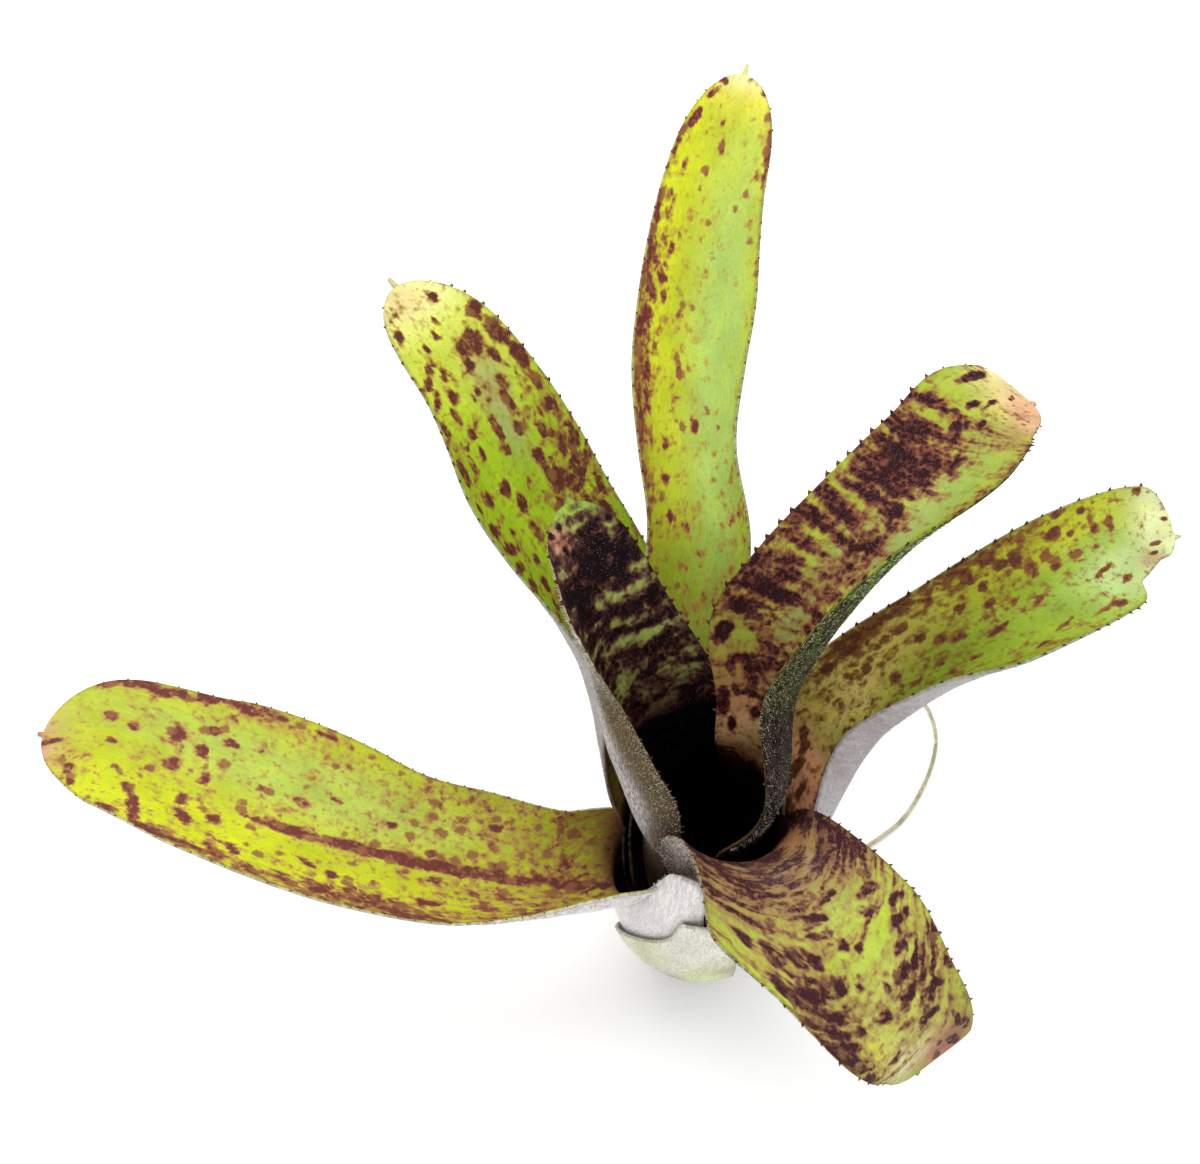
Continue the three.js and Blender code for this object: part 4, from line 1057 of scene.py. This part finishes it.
LOOKS["leaf_7"] = dict(
    ground=srgb(166, 188, 62), banding=0.4, streak=(0.5, 0.2),
    scurf=[(14, -2, 20, 16, 0.16), (32, 0, 10, 16, 0.22)], dots=0.8, mark=srgb(104, 64, 54),
    deep=srgb(62, 32, 34), mark_light=srgb(156, 118, 76), cells=0.35, chance=0.2, contrast=2.6,
    soft=(-0.26, 0.46), spots=0.35, dotty=[(78, 5, 7, 8, 1)], bow=0.055, band=(0.4, 0.08),
    under=srgb(168, 158, 152), under_deep=srgb(70, 52, 50), under_mottle=0.8,
    # The dark under wash and the black washes below the neck are painted shade inside the tank.
    under_washes=[(-30, -8, 20, 30, PAINTED_SHADE_DARK, 1), (50, 0, 24, 40, PAPER, 0.8)],
    hems=[(-16, 14, -1, 5, srgb(74, 58, 54), 1)],
    hairs=[(-24, 12, -1, 6, 5, 0.9), (12, 44, -1, 1, 6, 0.6), (4, 40, 1, 1, 6, 0.6)],
    under_scurf=0.15,
    washes=[
        (-14, 0, 16, 60, PAINTED_SHADE_BLACK, 1), (-38, 0, 20, 60, PAINTED_SHADE_BLACK, 1),
        (6, -2, 16, 40, srgb(60, 36, 36), 0.85), (17, 6, 9, 4, srgb(196, 116, 76), 1),
        (42, 0, 5, 6, SOFT_GREEN, 0.5), (30, -4, 11, 16, srgb(132, 122, 84), 0.8),
        (80, 5, 6, 5, srgb(176, 104, 96), 0.9), (79, 6, 3, 3.5, srgb(120, 62, 72), 0.7),
        (76, -4, 6, 6, CREAM, 0.6), (66, -7, 6, 3, YELLOW, 0.6),
        (64, 2, 9, 12, srgb(206, 204, 116), 0.45),
    ],
    dark=[
        (-50, 1.4), (0, 1.3), (14, 1), (24, 0.66), (34, 0.42), (42, 0.14), (56, 0.1), (70, 0.12),
        (84, -0.15),
    ],
    darker=[
        (17, 6, 9, 3.2, -0.95), (51, -12, 10, 4, 0.3), (62, 6, 5, 7, 0.2), (30, 10, 9, 5, 0.2),
        (55, 3, 4, 4, -0.2), (68, -6, 5, 4, -0.2), (44, -4, 8, 8, 0.14), (72, 8, 6, 3, 0.1),
        (62, -12, 8, 4, 0.3), (68, -9, 4, 4, 0.25), (60, 9, 8, 3, 0.15),
    ],
    marks=[
        (43, 8, 1.4, 3, 12), (47, 6, 1, 1.6, 10), (48, 11.4, 1.3, 2, 15), (52, 10, 1, 2.6, 20),
        (56, 8, 1.1, 2.8, 15), (60, 6, 1.3, 4.2, 10), (63.4, 6, 1.5, 4.8, 10),
        (66.8, 7, 1.2, 3, 12), (58, 12.4, 3, 1.1, -30), (65, 12, 2, 0.9, -20), (52, 1, 1, 0.8),
        (50, -1, 1.2, 0.8), (46, -5, 1, 1), (50, -7, 1.3, 1.1), (55, -6, 1.3, 1.1),
        (57, -3, 1, 0.8), (60, 1, 1.3, 0.7), (62, -7, 1.5, 0.9), (48, -10, 3, 1.1, 15),
        (53, -11, 4, 1.5, 15), (62, -11.4, 5, 2.4), (68, -11, 3, 1.8), (46, -13, 3, 1.2, 15),
        (58, -9, 2.2, 1, 12), (42, -10, 1.5, 0.8), (43, -16, 2, 1.2, 10), (68, 0, 1.1, 2),
        (70.6, 4, 0.9, 2.4), (50, -15, 2.4, 0.9, 15), (64, -2, 1.2, 1.4), (72, -5, 1, 1.8),
        (80, 7, 2.4, 1.4, 30), (77, 9.5, 1.5, 1), (82.5, 4, 1.6, 1), (78.5, 4, 1.2, 0.8),
        (40, 3, 1.2, 1), (44, -1, 1.1, 0.9), (75, 8, 2, 0.7),
    ],
)

LOOKS["old_sheath"] = dict(
    ground=PAPER, under=srgb(232, 232, 218), under_scurf=0.15, dots=0, teeth=0, dark=[(0, -0.8)],
    under_washes=[
        # The dark olive wash at the foot is painted shade on the sheath's curved lower side.
        (-58, 0, 14, 40, DARK_OLIVE, 0.9), (-30, -8, 16, 5, GREY_VIOLET, 0.25),
        (-36, 10, 20, 4, OLIVE, 0.6), (-30, 2, 9, 5, srgb(208, 218, 160), 0.8),
        (-22, -12, 8, 5, srgb(206, 214, 158), 0.7), (-34, -4, 3, 2, GREY_VIOLET, 0.5),
        (-26, 6, 2.4, 2, GREY_VIOLET, 0.45), (-40, -10, 4, 3, GREY_VIOLET, 0.5),
    ],
)


def within(spot, along, offset):
    """How much a soft round patch covers each point, 0 to 1."""
    s, m, length, width = spot
    return np.exp(-((along - s) / length) ** 2 - ((offset - m) / width) ** 2)


def blotch(along, offset, s, m, length, width, turn=0):
    """How dark a turned oval mark makes each point: most in its middle, below 0 well outside."""
    angle = math.radians(turn)
    u = (along - s) * math.cos(angle) + (offset - m) * math.sin(angle)
    v = (offset - m) * math.cos(angle) - (along - s) * math.sin(angle)
    inside = 1 - MARK_FALL * ((u / length) ** 2 + (v / width) ** 2)
    return np.clip(inside, MARK_LEAST, MARK_MOST)


def paint(name, look, coordinates):
    """A leaf's painted attributes at its points."""
    along, offset, margin, under, tooth = coordinates.T
    below = under > 0.5

    def covered(tint, colour, cover):
        return tint + (np.array(colour) - tint) * cover[:, None]

    def level(base, key, under_level):
        patches = look[key]
        above = base + sum(amount * within(spot, along, offset) for *spot, amount in patches)
        return np.where(below, under_level, above)

    tint = np.where(below[:, None], look["under"], look["ground"])
    for key, seen in (("washes", ~below), ("under_washes", below)):
        for *spot, colour, strength in look[key]:
            cover = WASH_FULLNESS * strength * within(spot, along, offset)
            tint = covered(tint, colour, np.clip(cover, 0, strength) * seen)
    for start, end, side, width, colour, strength in look["hems"]:
        ends = ease((along - start) / HEM_RISE) * ease((end - along) / HEM_FALL)
        cover = strength * ends * ease(HEM_FULLNESS * (1 - margin / width))
        tint = covered(tint, colour, cover * (below & (offset * side > 0)))
    dark = level(follow(look["dark"], along)[:, 0], "darker", look["under_dark"])
    for mark in look["marks"]:
        dark = np.where(below, dark, np.maximum(dark, blotch(along, offset, *mark)))
    scurf = level(0, "scurf", look["under_scurf"])
    dots = level(look["dots"], "dotty", 0)
    seed = SEED_STEP * (1 + sorted(LOOKS).index(name))
    columns = {
        "leaf_mm": (along, offset, np.full_like(along, seed)),
        "coat": (dark, scurf, dots),
        "where": (margin, under, tooth),
    }
    return {"tint": tint, **{key: np.stack(parts, 1) for key, parts in columns.items()}}


# ------------------------------------------------------------------ the scene


def placed(name, data):
    """A new object in the scene."""
    thing = bpy.data.objects.new(name, data)
    bpy.context.scene.collection.objects.link(thing)
    return thing


def add_camera():
    data = bpy.data.cameras.new("camera")
    data.lens = CAMERA_LENS
    data.sensor_width = CAMERA_SENSOR
    data.sensor_fit = "HORIZONTAL"
    data.clip_start = 0.01
    camera = placed("camera", data)
    camera.location = CAMERA_PLACE
    camera.rotation_euler = (math.radians(CAMERA_PITCH), 0, 0)
    bpy.context.scene.camera = camera


def add_light():
    data = bpy.data.lights.new("overhead", "AREA")
    data.shape = "DISK"
    data.size = LIGHT_SIZE
    data.energy = LIGHT_POWER
    light = placed("overhead", data)
    light.location = LIGHT_PLACE
    direction = Vector(LIGHT_AIM) - Vector(LIGHT_PLACE)
    light.rotation_euler = direction.to_track_quat("-Z", "Y").to_euler()


def add_world():
    world = bpy.data.worlds.new("studio")
    world.use_nodes = True
    background = world.node_tree.nodes["Background"]
    background.inputs["Color"].default_value = (1, 1, 1, 1)
    background.inputs["Strength"].default_value = WORLD_STRENGTH
    bpy.context.scene.world = world


def add_floor():
    n = Nodes("floor_paper")
    where = n.add("TexCoord", {}).outputs["Object"]
    grain = n.noise(n.scaled(where, PAPER_GRAIN, PAPER_GRAIN, PAPER_GRAIN))
    paper = n.mix(grain, srgb(248, 248, 246, 1), srgb(252, 252, 250, 1))
    n.fill(n.shader, {"Specular IOR Level": 0.1})
    side = FLOOR_SIDE
    corners = [(-side, -side, 0), (side, -side, 0), (side, side, 0), (-side, side, 0)]
    mesh = bpy.data.meshes.new("floor")
    mesh.from_pydata(corners, [], [(0, 1, 2, 3)])
    mesh.materials.append(n.finished(paper, 0.85))
    floor = placed("floor", mesh)


def add_leaf(node, seed):
    """The finer mesh of one leaf, painted, in place of its node."""
    look = {**PLAIN_LOOK, **LOOKS[node]}
    points, faces, coordinates = leaf_mesh(Leaf(node), look, seed)
    mesh = bpy.data.meshes.new(node + "_fine")
    mesh.from_pydata((points * MM).tolist(), [], faces)
    mesh.validate()
    for key, values in paint(node, look, coordinates).items():
        layer = mesh.attributes.new(key, "FLOAT_VECTOR", "POINT")
        layer.data.foreach_set("vector", values.ravel())
    mesh.shade_smooth()
    mesh.materials.append(leaf_material(node, look))
    piece = placed(node + "_fine", mesh)
    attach(piece, "root")
    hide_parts(node)


add_camera()
add_world()
add_light()
add_floor()

for number, leaf_name in enumerate(LEAVES):
    add_leaf(leaf_name, number + 1)

DRY = {
    "stem": plain_material("stem", srgb(150, 118, 82), srgb(84, 62, 42), 420, 0.85, 0.0006),
    "long_root": plain_material("root", srgb(206, 200, 168), srgb(160, 150, 112), 700, 0.8, 0.0002),
}
for node_name, material in DRY.items():
    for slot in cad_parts[node_name].material_slots:
        slot.material = material

bpy.context.scene.view_settings.view_transform = "Standard"
